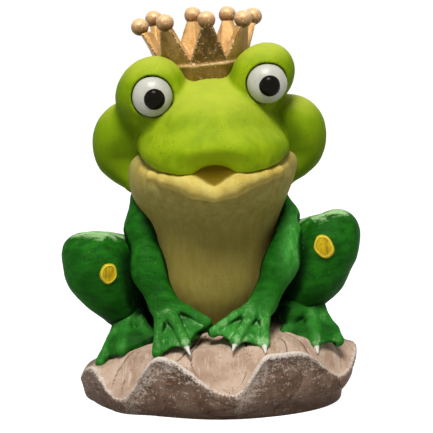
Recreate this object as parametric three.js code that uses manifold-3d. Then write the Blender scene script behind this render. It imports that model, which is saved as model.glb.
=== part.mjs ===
// Aquarium ornament: a crowned frog that squats on a ruffled leaf, cast in sections, pinned and glued.
// Millimetres. The frog looks along -Y, its left side is +X, +Z is up, and the leaf stands on z = 0.
import * as THREE from "three";
import { mergeVertices } from "three/addons/utils/BufferGeometryUtils.js";
import Module from "manifold-3d";

const wasm = await Module();
wasm.setup();

// Driving dimensions: the whole figure
const GLUE_GAP = 0.3; // glue line between two castings
const BODY_SLANT = 0.082; // how much the leaf, body and legs rise per millimetre towards the frog's left
const FACE_SLANT = 0.035; // the same for the muzzle and cheeks
const BROW_SLANT = 0.147; // the same for the eye bulges
const EYE_SLANT = 0.115; // the same for the eyes
const CROWN_SLANT = 0.09; // the same for the crown
const DOWEL_RADIUS = 1.5;
const DOWEL_LENGTH = 12;

// Driving dimensions: the leaf
const LEAF_WIDTH = 107;
const LEAF_DEPTH = 92;
const LEAF_OFFSET = 3; // the leaf's middle lies this far to the frog's left
const SEAT_HEIGHT = 27; // the top of the leaf under the frog
const CREST_HEIGHT = 25.2; // the rolled lip at the top of a wave
const TROUGH_HEIGHT = 8; // the lip at the bottom of a wave
const LIP_THICKNESS = 2.5;
const FOOT_SHARE = 0.88; // the standing face, as a share of the rim
// Each wave of the rim: its turn in degrees from the front, towards the frog's left, and its share of a crest
const WAVES = [
  [-66, 0.58],
  [-43.5, 0],
  [-25, 1],
  [6, 0.07],
  [21, 0.87],
  [32, 0.84],
  [61, 0],
  [92, 0.4],
  [126, 0.1],
  [150, 0.65],
  [178, 0.1],
  [204, 0.65],
  [230, 0.1],
  [252, 0.3],
  [270, 0.2],
];

// Driving dimensions: the head
const HEAD_RISE = 75; // the middle of the head above the seat
const HEAD_OFFSET = -1.2;
const HEAD_WIDTH = 56; // between the cheeks
const HEAD_DEPTH = 52;
const HEAD_HEIGHT = 43;
const HEAD_SETBACK = 4;
const MUZZLE_OFFSET = 1.4; // the muzzle is turned a little to the frog's left
const FOREHEAD_WIDTH = 37;
const FOREHEAD_DEPTH = 40;
const FOREHEAD_HEIGHT = 27;
const MUZZLE_WIDTH = 59;
const MUZZLE_REACH = 43; // from the middle of the head to the tip of the upper lip
const MUZZLE_HEIGHT = 23;
const MUZZLE_DROP = 4.5; // the middle of the muzzle below the middle of the head
const LIP_DROP = 11.6; // the upper lip below the middle of the head
const SMILE_RISE = 5.5; // the corners of the mouth above its middle
const BEAK_WIDTH = 36; // the hollow under the middle of the upper lip
const BEAK_HEIGHT = 12;
const BEAK_DEPTH = 10.5;
const CHEEK_SPREAD = 60; // between the middles of the cheeks
const CHEEK_RADIUS = 14.5;
const CHEEK_HEIGHT = 32;
const BULGE_OFFSET = -1.7; // the middle between the eye bulges
const BULGE_SPREAD = 42.2;
const BULGE_RISE = 20.5; // above the middle of the head
const BULGE_ADVANCE = 11; // in front of the middle of the head
const LEFT_BULGE_RADIUS = 12.4;
const RIGHT_BULGE_RADIUS = 13.4;
const EYE_OFFSET = -0.4;
const EYE_SPREAD = 42.8;
const EYE_RISE = 18.2;
const EYE_RADIUS = 7.6;
const EYE_THICKNESS = 10;
const EYE_STAND_OUT = 2.2; // the white in front of the bulge
const PUPIL_RADIUS = 4;
const PUPIL_THICKNESS = 5;
const PUPIL_STAND_OUT = 1.2;
const PUPIL_SHIFT = 0.8; // the pupils look down and to the frog's left

// Driving dimensions: the crown
const CROWN_POINTS = 8;
const CROWN_TURN = 10; // degrees, so that one point stands left of the nose
const CROWN_OFFSET = -2.8;
const CROWN_SETBACK = 3; // behind the middle of the head
const CROWN_SINK = 2; // how deep the band sits in the head
const CROWN_SEAT_RADIUS = 19; // the mound on the head that holds the band
const CROWN_SEAT_HEIGHT = 8;
const CROWN_FOOT_RADIUS = 13.8;
const CROWN_BAND_RADIUS = 16.6;
const CROWN_TIP_RADIUS = 21.2;
const CROWN_BAND_HEIGHT = 7.5;
const CROWN_HEIGHT = 21.5;
const CROWN_WALL = 2.6;
const CROWN_FLOOR = 4;
const CROWN_TIP_WIDTH = 4.6;
const CROWN_BALL_RADIUS = 3.4;

// Driving dimensions: the body
const CHEST_WIDTH = 54;
const CHEST_HEIGHT = 44;
const CHEST_RISE = 44; // the middle of the chest above the seat
const HIP_WIDTH = 53;
const HIP_HEIGHT = 56;
const HIP_RISE = 20;
const BODY_DEPTH = 50;
const BODY_SETBACK = 4;
const THROAT_WIDTH = 62;
const THROAT_REACH = 33; // from the middle of the head to the front of the throat
const JAW_WIDTH = 57;
const JAW_DEPTH = 47;
const JAW_HEIGHT = 24;
const JAW_REACH = 40; // from the middle of the head to the front of the jaw
const CHIN_REACH = 42; // the same to the front of the lower lip
const CHIN_DROP = 6.4; // the middle of the lower lip below the upper one
const CHIN_RADIUS = 3.5;
const RECESS_WIDTH = 21; // the dip between the lips
const RECESS_HEIGHT = 13;
const SEAM_BEHIND_SHOULDER = 3; // the seam between the front and the back of the body
const SEAM_BEHIND_WRIST = 8;

// Driving dimensions: the legs
const SHOULDER_SPREAD = 55;
const ARM_RADIUS = 6.2;
const UPPER_ARM_DROP = 11; // below the shoulder
const ELBOW_DROP = 25;
const ELBOW_ADVANCE = 12; // in front of the shoulder
const ELBOW_INSET = 2; // from the shoulder towards the body
const WRIST_SPREAD = 36;
const WRIST_RADIUS = 5.4;
const HAND_SPREAD = 40; // between the outer fingers of the two hands
const HAND_REACH = 34.5; // the finger tips in front of the middle of the leaf
const TOE_RADIUS = 2.4;
const KNEE_SPREAD = 93.4;
const KNEE_RISE = 33; // above the seat
const KNEE_RADIUS = 9.6;
const THIGH_RADIUS = 12;
const HAUNCH_RADIUS = 14;
const ANKLE_SPREAD = 69;
const ANKLE_RISE = 8;
const ANKLE_RADIUS = 7.6;
const FOOT_SPREAD = 90; // between the outer toes of the two feet
const FOOT_REACH = 20;
const SPOT_WIDTH = 7.4;
const SPOT_HEIGHT = 8.8;
const SPOT_THICKNESS = 2.4;
const LEFT_SPOT_INSET = 5.2; // from the middle of the knee towards the body
const LEFT_SPOT_DROP = 2; // below the middle of the knee
const RIGHT_SPOT_INSET = 9;
const RIGHT_SPOT_DROP = 6;

// Facet sizes
const HEAD_CELL = 4.3;
const BELLY_CELL = 4.8;
const BACK_CELL = 7.8;
const LEG_CELL = 6.2;
const HAND_CELL = 3.4;
const LEAF_SEGMENTS = 64;
const ROUND_SEGMENTS = 12;
const BALL_SEGMENTS = 8;
const SHORTEST_EDGE = 0.02;
const NUDGE = 0.05; // the half width over which a slope is measured

// Paint
const paint = (color, roughness, metalness = 0) =>
  new THREE.MeshStandardMaterial({ color, roughness, metalness });
const LIME = paint("#9cb82c", 0.55);
const GREEN = paint("#1f7a26", 0.55);
const CREAM = paint("#b3a35c", 0.6);
const STONE = paint("#a38970", 0.85);
const GOLD = paint("#b48945", 0.45, 0.5);
const WHITE = paint("#e4e4d8", 0.4);
const BLACK = paint("#0d0c08", 0.2);
const YELLOW = paint("#e0bf16", 0.5);
const STEEL = paint("#8d9196", 0.35, 1);

// Places that pieces share, all worked out for a level figure
const HEAD_Z = SEAT_HEIGHT + HEAD_RISE;
const MOUTH_Z = HEAD_Z - LIP_DROP;
const BULGE_Y = HEAD_SETBACK - BULGE_ADVANCE;
const bulgeRadius = (side) => (side > 0 ? LEFT_BULGE_RADIUS : RIGHT_BULGE_RADIUS);
const KNEE = [KNEE_SPREAD / 2, -8, SEAT_HEIGHT + KNEE_RISE];
const KNEECAP = [KNEE[0] + 3.8, KNEE[1], KNEE[2] + 3.8];
const THIGH = [KNEE[0] - 10.5, -1, KNEE[2] - 5.5];
const ANKLE = [ANKLE_SPREAD / 2, -5, SEAT_HEIGHT + ANKLE_RISE];
const SHOULDER = [SHOULDER_SPREAD / 2, -2, MOUTH_Z - 11];
const WRIST = [WRIST_SPREAD / 2, -HAND_REACH * 0.585, SEAT_HEIGHT + 14];

// Clay fields: the signed distance from a point to a surface, negative inside
const ellipsoid = ([cx, cy, cz], [hx, hy, hz]) => (x, y, z) => {
  const [a, b, c] = [(x - cx) / hx, (y - cy) / hy, (z - cz) / hz];
  const near = Math.hypot(a, b, c);
  const steep = Math.hypot(a / hx, b / hy, c / hz);
  return steep > 0 ? (near * (near - 1)) / steep : -Math.min(hx, hy, hz);
};

// A limb is a bar that tapers from one radius to another, and a chain is limbs end to end.
const limb = ([ax, ay, az, ra], [bx, by, bz, rb]) => {
  const [dx, dy, dz] = [bx - ax, by - ay, bz - az];
  const square = dx * dx + dy * dy + dz * dz;
  return (x, y, z) => {
    const along = ((x - ax) * dx + (y - ay) * dy + (z - az) * dz) / square;
    const t = Math.min(1, Math.max(0, along));
    return Math.hypot(x - ax - t * dx, y - ay - t * dy, z - az - t * dz) - ra - t * (rb - ra);
  };
};
const chain = (soft, ...stops) => melt(soft, ...stops.slice(1).map((stop, i) => limb(stops[i], stop)));

const softMin = (a, b, soft) => {
  const share = Math.max(soft - Math.abs(a - b), 0) / soft;
  return Math.min(a, b) - (share * share * soft) / 4;
};
const melt = (soft, ...fields) => (x, y, z) =>
  fields.map((f) => f(x, y, z)).reduce((a, b) => softMin(a, b, soft));
const within = (soft, ...fields) => (x, y, z) =>
  -fields.map((f) => -f(x, y, z)).reduce((a, b) => softMin(a, b, soft));
const outside = (field) => (x, y, z) => -field(x, y, z);
const paired = (middle, field) => (x, y, z) => field(Math.abs(x - middle), y, z);
const onSide = (side, middle, field) => (x, y, z) => field(side * (x - middle), y, z);
const slanted = (rise, field) => (x, y, z) => field(x, y, z - rise * x);

// The slope of a field, and one step down it towards the surface
const slope = (field, [x, y, z]) => [
  (field(x + NUDGE, y, z) - field(x - NUDGE, y, z)) / (2 * NUDGE),
  (field(x, y + NUDGE, z) - field(x, y - NUDGE, z)) / (2 * NUDGE),
  (field(x, y, z + NUDGE) - field(x, y, z - NUDGE)) / (2 * NUDGE),
];
function settle(field, at, stride) {
  const uphill = slope(field, at);
  const step = field(...at) / Math.max(Math.hypot(...uphill) ** 2, 0.1);
  const held = THREE.MathUtils.clamp(step, -stride, stride);
  return at.map((value, axis) => value - held * uphill[axis]);
}

// Fills the places where two lobes would meet in a single edge, and says whether it found any.
function fillPinches(value, step, inner) {
  let found = false;
  for (let i = 0; i < value.length; i++) {
    if (!inner(i)) continue;
    for (const axis of [0, 1, 2]) {
      const [u, v] = [step[axis], step[(axis + 1) % 3]];
      const ring = [i, i + u, i + u + v, i + v];
      const [a, b, c, d] = ring.map((corner) => value[corner] < 0);
      if (a !== c || b !== d || a === b) continue;
      const open = ring.filter((corner) => value[corner] >= 0);
      value[value[open[0]] < value[open[1]] ? open[0] : open[1]] = -NUDGE;
      found = true;
    }
  }
  return found;
}

// Skins a field: one vertex in each grid cell that the surface crosses, one quad round each crossed edge.
const REACH = [KNEE_SPREAD / 2 + 3 * KNEE_RADIUS, LEAF_DEPTH / 2 + 12, HEAD_Z + HEAD_HEIGHT + 12];
function skin(field, cell) {
  const low = [-REACH[0], -REACH[1], -2 * cell];
  const count = low.map((from, axis) => Math.ceil((REACH[axis] - from) / cell) + 1);
  const step = [1, count[0], count[0] * count[1]];
  const place = (i, axis) => low[axis] + (Math.floor(i / step[axis]) % count[axis]) * cell;
  const value = new Float64Array(count[0] * count[1] * count[2]);
  for (let i = 0; i < value.length; i++) value[i] = field(place(i, 0), place(i, 1), place(i, 2));

  const inner = (i) => [0, 1, 2].every((axis) => Math.floor(i / step[axis]) % count[axis] < count[axis] - 1);
  while (fillPinches(value, step, inner));

  const corners = [0, 1, 2, 3, 4, 5, 6, 7].map((n) => [n & 1, (n >> 1) & 1, n >> 2]);
  const offset = corners.map((c) => c[0] * step[0] + c[1] * step[1] + c[2] * step[2]);
  const edges = [];
  for (let a = 0; a < 8; a++)
    for (const bit of [1, 2, 4]) if (!(a & bit)) edges.push([a, a | bit]);

  const vertexOf = new Map();
  const points = [];
  for (let i = 0; i < value.length; i++) {
    if (!inner(i)) continue;
    const crossed = edges.filter(([a, b]) => value[i + offset[a]] < 0 !== value[i + offset[b]] < 0);
    if (!crossed.length) continue;
    const mean = [0, 0, 0];
    for (const [a, b] of crossed) {
      const t = value[i + offset[a]] / (value[i + offset[a]] - value[i + offset[b]]);
      for (const axis of [0, 1, 2])
        mean[axis] += (corners[a][axis] + t * (corners[b][axis] - corners[a][axis])) / crossed.length;
    }
    vertexOf.set(i, points.length);
    const rough = mean.map((m, axis) => place(i, axis) + m * cell);
    points.push(settle(field, settle(field, rough, cell / 4), cell / 4));
  }

  const apart = (a, b) => Math.hypot(...points[a].map((value, axis) => value - points[b][axis]));
  const triangles = [];
  for (const i of vertexOf.keys())
    for (const axis of [0, 1, 2]) {
      const [u, v] = [step[(axis + 1) % 3], step[(axis + 2) % 3]];
      const [from, to] = [value[i], value[i + step[axis]]];
      if (from < 0 === to < 0 || !vertexOf.has(i - u - v)) continue;
      const ring = [i, i - u, i - u - v, i - v].map((cellIndex) => vertexOf.get(cellIndex));
      if (from >= 0) ring.reverse();
      const [a, b, c, d] = ring;
      triangles.push(...(apart(a, c) < apart(b, d) ? [a, b, c, a, c, d] : [a, b, d, b, c, d]));
    }
  const geometry = new THREE.BufferGeometry();
  geometry.setAttribute("position", new THREE.Float32BufferAttribute(points.flat(), 3));
  return geometry.setIndex(triangles);
}

// Solids
function solid(geometry) {
  const bare = new THREE.BufferGeometry();
  bare.setAttribute("position", geometry.getAttribute("position"));
  if (geometry.index) bare.setIndex(geometry.index);
  const merged = mergeVertices(bare, 1e-4);
  return new wasm.Manifold(
    new wasm.Mesh({
      numProp: 3,
      vertProperties: new Float32Array(merged.attributes.position.array),
      triVerts: new Uint32Array(merged.index.array),
      tolerance: SHORTEST_EDGE,
    }),
  );
}

// The room that a piece needs in its neighbours: its own skin, moved out
function room(geometry, gap) {
  const swollen = geometry.clone();
  swollen.computeVertexNormals();
  const spot = swollen.getAttribute("position");
  const facing = swollen.getAttribute("normal");
  for (let i = 0; i < spot.count; i++) {
    const moved = new THREE.Vector3().fromBufferAttribute(spot, i);
    moved.addScaledVector(new THREE.Vector3().fromBufferAttribute(facing, i), gap);
    spot.setXYZ(i, moved.x, moved.y, moved.z);
  }
  return solid(swollen);
}
const cutBy = (piece, tools) => tools.reduce((left, tool) => left.subtract(tool), piece);

function mesh(name, shape, material) {
  const { vertProperties, triVerts } = shape.getMesh();
  const geometry = new THREE.BufferGeometry();
  geometry.setAttribute("position", new THREE.BufferAttribute(vertProperties, 3));
  geometry.setIndex(new THREE.BufferAttribute(triVerts, 1));
  geometry.computeVertexNormals();
  const made = new THREE.Mesh(geometry, material);
  made.name = name;
  return made;
}

// A level place, moved to where a slant takes it
const slide = (rise, [x, y, z]) => new THREE.Vector3(x, y, z + rise * x);

// The leaf: a round dish whose section swings between a crest and a trough as it goes round
const UNDERSIDE = -BODY_SLANT * LEAF_WIDTH; // low enough for the ground to cut the slanted dish all over
const CREST_SECTION = [
  [0, UNDERSIDE],
  [FOOT_SHARE, UNDERSIDE],
  [FOOT_SHARE, 0],
  [0.945, CREST_HEIGHT * 0.22],
  [0.985, CREST_HEIGHT * 0.55],
  [1, CREST_HEIGHT - LIP_THICKNESS],
  [0.985, CREST_HEIGHT],
  [0.94, CREST_HEIGHT - LIP_THICKNESS / 2],
  [0.86, CREST_HEIGHT - 2.8],
  [0.72, SEAT_HEIGHT - 2.8],
  [0.45, SEAT_HEIGHT],
  [0, SEAT_HEIGHT],
];
const TROUGH_SECTION = [
  [0, UNDERSIDE],
  [FOOT_SHARE, UNDERSIDE],
  [FOOT_SHARE, 0],
  [0.945, TROUGH_HEIGHT * 0.3],
  [0.985, TROUGH_HEIGHT - LIP_THICKNESS],
  [1.01, TROUGH_HEIGHT - LIP_THICKNESS / 2],
  [1, TROUGH_HEIGHT],
  [0.95, TROUGH_HEIGHT + LIP_THICKNESS],
  [0.86, (SEAT_HEIGHT + TROUGH_HEIGHT) / 2 - 0.9],
  [0.72, SEAT_HEIGHT - 3.4],
  [0.45, SEAT_HEIGHT],
  [0, SEAT_HEIGHT],
];

// The share of the full crest at a turn, a half cosine between each wave and the next
function ruffle(degrees) {
  const [first] = WAVES[0];
  const around = THREE.MathUtils.euclideanModulo(degrees - first, 360) + first;
  const stops = [...WAVES, [first + 360, WAVES[0][1]]];
  const next = stops.findIndex(([turn]) => turn > around);
  const [[from, low], [to, high]] = [stops[next - 1], stops[next]];
  const falling = (1 + Math.cos((Math.PI * (around - from)) / (to - from))) / 2;
  return high + (low - high) * falling;
}

function leafSolid() {
  const profile = CREST_SECTION.map(([r, z]) => new THREE.Vector2(r, z));
  const dish = new THREE.LatheGeometry(profile, LEAF_SEGMENTS);
  const spot = dish.getAttribute("position");
  for (let i = 0; i < spot.count; i++) {
    const turn = (Math.floor(i / profile.length) / LEAF_SEGMENTS) * 360;
    const wave = ruffle(turn);
    const [crest, trough] = [CREST_SECTION, TROUGH_SECTION].map((s) => s[i % profile.length]);
    const [share, height] = [0, 1].map((k) => trough[k] + wave * (crest[k] - trough[k]));
    const angle = THREE.MathUtils.degToRad(turn);
    const x = LEAF_OFFSET + (share * Math.sin(angle) * LEAF_WIDTH) / 2;
    spot.setXYZ(i, x, (-share * Math.cos(angle) * LEAF_DEPTH) / 2, height + BODY_SLANT * x);
  }
  const ground = new THREE.BoxGeometry(2 * LEAF_WIDTH, 2 * LEAF_DEPTH, LEAF_WIDTH);
  ground.translate(0, 0, -LEAF_WIDTH / 2);
  return solid(dish).subtract(solid(ground));
}

// The head: cranium, forehead and muzzle, ended below by the upper lip, with eye bulges and cheeks
const aboveMouth = (x, y, z) =>
  MOUTH_Z + SMILE_RISE * Math.abs((x - MUZZLE_OFFSET) / (MUZZLE_WIDTH / 2)) ** 5 - z;
const skull = melt(
  5,
  ellipsoid([HEAD_OFFSET, HEAD_SETBACK, HEAD_Z], [HEAD_WIDTH / 2, HEAD_DEPTH / 2, HEAD_HEIGHT / 2]),
  ellipsoid(
    [MUZZLE_OFFSET, HEAD_SETBACK - MUZZLE_REACH * 0.42, HEAD_Z - MUZZLE_DROP],
    [MUZZLE_WIDTH / 2, MUZZLE_REACH * 0.58, MUZZLE_HEIGHT / 2],
  ),
  ellipsoid(
    [0, HEAD_SETBACK - 15, HEAD_Z + 5],
    [FOREHEAD_WIDTH / 2, FOREHEAD_DEPTH / 2, FOREHEAD_HEIGHT / 2],
  ),
);
const beakHollow = ellipsoid(
  [MUZZLE_OFFSET, HEAD_SETBACK - MUZZLE_REACH - 6, MOUTH_Z + 0.6],
  [BEAK_WIDTH / 2, BEAK_DEPTH, BEAK_HEIGHT],
);
const cheekX = CHEEK_SPREAD / 2;
const cheek = melt(
  6,
  ellipsoid([cheekX, HEAD_SETBACK, HEAD_Z - 2.5], [CHEEK_RADIUS, CHEEK_RADIUS, CHEEK_HEIGHT / 2]),
  limb(
    [cheekX + 1, HEAD_SETBACK - 1, HEAD_Z - 9, CHEEK_RADIUS * 0.62],
    [cheekX - 2.5, HEAD_SETBACK - 5, HEAD_Z - 18, CHEEK_RADIUS * 0.31],
  ),
);
const dimple = limb(
  [cheekX - 2, HEAD_SETBACK - 19, HEAD_Z + 4, CHEEK_RADIUS * 0.41],
  [cheekX + 0.5, HEAD_SETBACK - 18, HEAD_Z - 9, CHEEK_RADIUS * 0.55],
);
const cheeks = paired(HEAD_OFFSET, within(8, cheek, outside(dimple)));
const face = melt(2, within(2, skull, aboveMouth, outside(beakHollow)), cheeks);
const bulge = (side) => {
  const x = BULGE_OFFSET + (side * BULGE_SPREAD) / 2;
  const z = HEAD_Z + BULGE_RISE;
  const radius = bulgeRadius(side);
  return limb([x, BULGE_Y, z, radius], [x - side * 2, BULGE_Y + 5, z - 3, radius - 1]);
};
const crownPlace = [CROWN_OFFSET, HEAD_SETBACK + CROWN_SETBACK, HEAD_Z + HEAD_HEIGHT / 2 - CROWN_SINK];
const crownSeat = ellipsoid(
  [crownPlace[0], crownPlace[1], crownPlace[2] + CROWN_SINK - CROWN_SEAT_HEIGHT],
  [CROWN_SEAT_RADIUS, CROWN_SEAT_RADIUS, CROWN_SEAT_HEIGHT],
);
const headField = melt(
  3,
  slanted(FACE_SLANT, face),
  slanted(CROWN_SLANT, crownSeat),
  slanted(BROW_SLANT, bulge(1)),
  slanted(BROW_SLANT, bulge(-1)),
);

// The body: belly, chest, throat, jaw and lower lip, one form that a seam parts into front and back
const chinY = HEAD_SETBACK - CHIN_REACH + CHIN_RADIUS;
const lowerLip = paired(
  MUZZLE_OFFSET,
  chain(
    3,
    [0, chinY, MOUTH_Z - CHIN_DROP, CHIN_RADIUS],
    [MUZZLE_WIDTH * 0.135, chinY + 1, MOUTH_Z - CHIN_DROP * 0.52, CHIN_RADIUS * 1.15],
    [MUZZLE_WIDTH * 0.2, chinY + 2.8, MOUTH_Z - CHIN_DROP * 0.4, CHIN_RADIUS * 1.05],
    [MUZZLE_WIDTH * 0.36, chinY + 10.2, MOUTH_Z, CHIN_RADIUS * 0.45],
  ),
);
const jaw = ellipsoid(
  [MUZZLE_OFFSET, HEAD_SETBACK - JAW_REACH + JAW_DEPTH / 2, MOUTH_Z - 3.4],
  [JAW_WIDTH / 2, JAW_DEPTH / 2, JAW_HEIGHT / 2],
);
const recess = ellipsoid(
  [MUZZLE_OFFSET, chinY - CHIN_RADIUS, MOUTH_Z + 1.2],
  [RECESS_WIDTH / 2, RECESS_HEIGHT / 2, RECESS_HEIGHT / 2],
);
const throatDepth = (THROAT_REACH + HEAD_DEPTH * 0.4) / 2;
const throat = ellipsoid(
  [0, HEAD_SETBACK - THROAT_REACH + throatDepth, MOUTH_Z - 6],
  [THROAT_WIDTH / 2, throatDepth, 17],
);
const trunk = melt(
  10,
  ellipsoid([0, BODY_SETBACK, SEAT_HEIGHT + HIP_RISE], [HIP_WIDTH / 2, BODY_DEPTH / 2, HIP_HEIGHT / 2]),
  ellipsoid(
    [0, BODY_SETBACK - 1, SEAT_HEIGHT + CHEST_RISE],
    [CHEST_WIDTH / 2, BODY_DEPTH * 0.47, CHEST_HEIGHT / 2],
  ),
  throat,
);
const bodyField = slanted(
  BODY_SLANT / 2,
  melt(3, within(1.5, melt(8, trunk, jaw), outside(recess)), lowerLip),
);

// The limbs, each modelled once on the frog's left
const handZ = SEAT_HEIGHT + 0.5;
const fingers = [
  [HAND_SPREAD / 2, 2.5 - HAND_REACH, handZ - 2.5],
  [HAND_SPREAD * 0.23, -HAND_REACH, handZ],
  [HAND_SPREAD * 0.04, 6.5 - HAND_REACH, handZ + 6.5],
];
const handsApart = (x) => 2 * GLUE_GAP - x;
const arm = melt(
  4,
  chain(
    4,
    [SHOULDER[0] - 2, SHOULDER[1], SHOULDER[2], ARM_RADIUS * 0.8],
    [SHOULDER[0] + 0.5, SHOULDER[1] - 5, SHOULDER[2] - UPPER_ARM_DROP, ARM_RADIUS],
    [SHOULDER[0] - ELBOW_INSET, SHOULDER[1] - ELBOW_ADVANCE, SHOULDER[2] - ELBOW_DROP, ARM_RADIUS],
    [...WRIST, WRIST_RADIUS],
  ),
  ...fingers.map((tip) => limb([...WRIST, WRIST_RADIUS * 0.8], [...tip, TOE_RADIUS])),
  ellipsoid([HAND_SPREAD * 0.275, 8.5 - HAND_REACH, handZ + 2.5], [HAND_SPREAD * 0.22, 6, TOE_RADIUS * 1.5]),
);
const foreleg = within(1, arm, handsApart);
const hindLeg = melt(
  6,
  chain(6, [...THIGH, THIGH_RADIUS], [...KNEE, KNEE_RADIUS], [...KNEECAP, KNEE_RADIUS * 0.58]),
  chain(
    6,
    [KNEE[0] - 0.7, KNEE[1], KNEE[2] - 4.5, KNEE_RADIUS + 0.7],
    [(KNEE[0] + ANKLE[0]) / 2 + 0.7, KNEE[1] + 2, (KNEE[2] + ANKLE[2]) / 2 - 2, KNEE_RADIUS],
    [...ANKLE, ANKLE_RADIUS],
  ),
  limb([...THIGH, THIGH_RADIUS], [HIP_WIDTH / 2, 12, SEAT_HEIGHT + 11, HAUNCH_RADIUS]),
);
const footZ = SEAT_HEIGHT - 5;
const toes = [
  [FOOT_SPREAD / 2, 4 - FOOT_REACH, footZ - 2],
  [FOOT_SPREAD * 0.41, -FOOT_REACH, footZ - 1],
  [FOOT_SPREAD * 0.28, 3 - FOOT_REACH, footZ],
];
const hindFoot = melt(
  4,
  ...toes.map((tip) => limb([...ANKLE, ANKLE_RADIUS * 0.8], [...tip, TOE_RADIUS])),
  ellipsoid([FOOT_SPREAD * 0.4, 7 - FOOT_REACH, footZ + 3], [FOOT_SPREAD * 0.11, 6, TOE_RADIUS * 1.7]),
);

// The crown: an eight-sided cup with a notch cut at each corner and a ball on each point
const crownBase = slide(CROWN_SLANT, crownPlace);
const crownLean = new THREE.Quaternion().setFromAxisAngle(
  new THREE.Vector3(0, 1, 0),
  -Math.atan(CROWN_SLANT),
);
const crownTurn = new THREE.Quaternion().setFromAxisAngle(
  new THREE.Vector3(0, 0, 1),
  THREE.MathUtils.degToRad(CROWN_TURN),
);
const crownPose = crownLean.clone().multiply(crownTurn);
const pointAngle = (i) => (i / CROWN_POINTS) * 2 * Math.PI;

const crownOutside = [
  [CROWN_FOOT_RADIUS, 0],
  [CROWN_BAND_RADIUS, CROWN_BAND_HEIGHT - 1],
  [CROWN_BAND_RADIUS + 0.7, CROWN_BAND_HEIGHT],
  [CROWN_BAND_RADIUS + 0.3, CROWN_BAND_HEIGHT + 0.8],
  [CROWN_TIP_RADIUS + CROWN_WALL / 2, CROWN_HEIGHT],
];
const crownInside = [
  [CROWN_TIP_RADIUS - CROWN_WALL / 2, CROWN_HEIGHT],
  [CROWN_BAND_RADIUS - CROWN_WALL, CROWN_BAND_HEIGHT],
  [CROWN_FOOT_RADIUS - CROWN_WALL, CROWN_FLOOR],
];
function eightSided(outline) {
  const cornerOut = 1 / Math.cos(Math.PI / CROWN_POINTS);
  const profile = outline.map(([r, z]) => new THREE.Vector2(r * cornerOut, z));
  return new THREE.LatheGeometry(profile, CROWN_POINTS, Math.PI / CROWN_POINTS).rotateX(Math.PI / 2);
}
const crownCup = () => eightSided([[0, 0], ...crownOutside, ...crownInside, [0, CROWN_FLOOR]]);
const crownRoom = () => {
  const outline = crownOutside.map(([r, z]) => [r + GLUE_GAP, z]);
  return eightSided([[0, -GLUE_GAP], [outline[0][0], -GLUE_GAP], ...outline, [0, CROWN_HEIGHT]]);
};

function notch(i) {
  const rise = CROWN_HEIGHT - CROWN_BAND_HEIGHT - 1.2;
  const spacing = 2 * CROWN_TIP_RADIUS * Math.tan(Math.PI / CROWN_POINTS);
  const half = (spacing - CROWN_TIP_WIDTH) / 2;
  const over = 1.4; // the wedge goes on past the top of the cup
  const wedge = new THREE.Shape([
    new THREE.Vector2(0, 0),
    new THREE.Vector2(half * over, rise * over),
    new THREE.Vector2(-half * over, rise * over),
  ]);
  const tool = new THREE.ExtrudeGeometry(wedge, { depth: CROWN_TIP_RADIUS * 1.5, bevelEnabled: false });
  return tool
    .rotateX(Math.PI / 2)
    .translate(0, 0, CROWN_HEIGHT - rise)
    .rotateZ(pointAngle(i + 0.5));
}

const ballPlace = (i) =>
  new THREE.Vector3(0, -CROWN_TIP_RADIUS - 0.6, CROWN_HEIGHT + CROWN_BALL_RADIUS * 0.6).applyAxisAngle(
    new THREE.Vector3(0, 0, 1),
    pointAngle(i),
  );
const ballGeometry = (radius) => new THREE.SphereGeometry(radius, BALL_SEGMENTS, BALL_SEGMENTS * 0.75);
const moved = (geometry, to) => geometry.translate(to.x, to.y, to.z);
const inCrown = (geometry) => solid(moved(geometry.applyQuaternion(crownPose), crownBase));

// Eyes: a domed white in a socket of the bulge, and a domed pupil in a socket of the white
const eyeAt = (side, thickness, standOut, shift) =>
  slide(EYE_SLANT, [
    EYE_OFFSET + (side * EYE_SPREAD) / 2 + shift,
    BULGE_Y - bulgeRadius(side) - standOut + thickness / 2,
    HEAD_Z + EYE_RISE - shift,
  ]);
const lens = (radius, thickness) =>
  new THREE.SphereGeometry(1, ROUND_SEGMENTS, Math.round(ROUND_SEGMENTS * 0.6))
    .rotateX(Math.PI / 2)
    .scale(radius, thickness / 2, radius);
const eyePlace = (side) => eyeAt(side, EYE_THICKNESS, EYE_STAND_OUT, 0);
const pupilPlace = (side) => eyeAt(side, PUPIL_THICKNESS, EYE_STAND_OUT + PUPIL_STAND_OUT, PUPIL_SHIFT);

// The point of a field that a straight line from the front first meets
function landing(field, x, z) {
  let y = -REACH[1];
  while (field(x, y, z) > NUDGE && y < REACH[1]) y += field(x, y, z) / 2;
  return [x, y, z];
}

// The seam of the body is a sloping plane behind the forelegs, which hide it
const SEAM_RISE = SHOULDER[2] - WRIST[2];
const SEAM_RUN = (SHOULDER[1] + SEAM_BEHIND_SHOULDER - WRIST[1] - SEAM_BEHIND_WRIST) / SEAM_RISE;
const seamY = (z) => SHOULDER[1] + SEAM_BEHIND_SHOULDER + SEAM_RUN * (z - SHOULDER[2]);
function frontOfSeam(back) {
  const size = 4 * HEAD_Z;
  const block = new THREE.BoxGeometry(size, size, size);
  block.translate(0, back - size / 2, 0).rotateX(-Math.atan(SEAM_RUN));
  return solid(block.translate(0, seamY(SHOULDER[2]), SHOULDER[2]));
}

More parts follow.
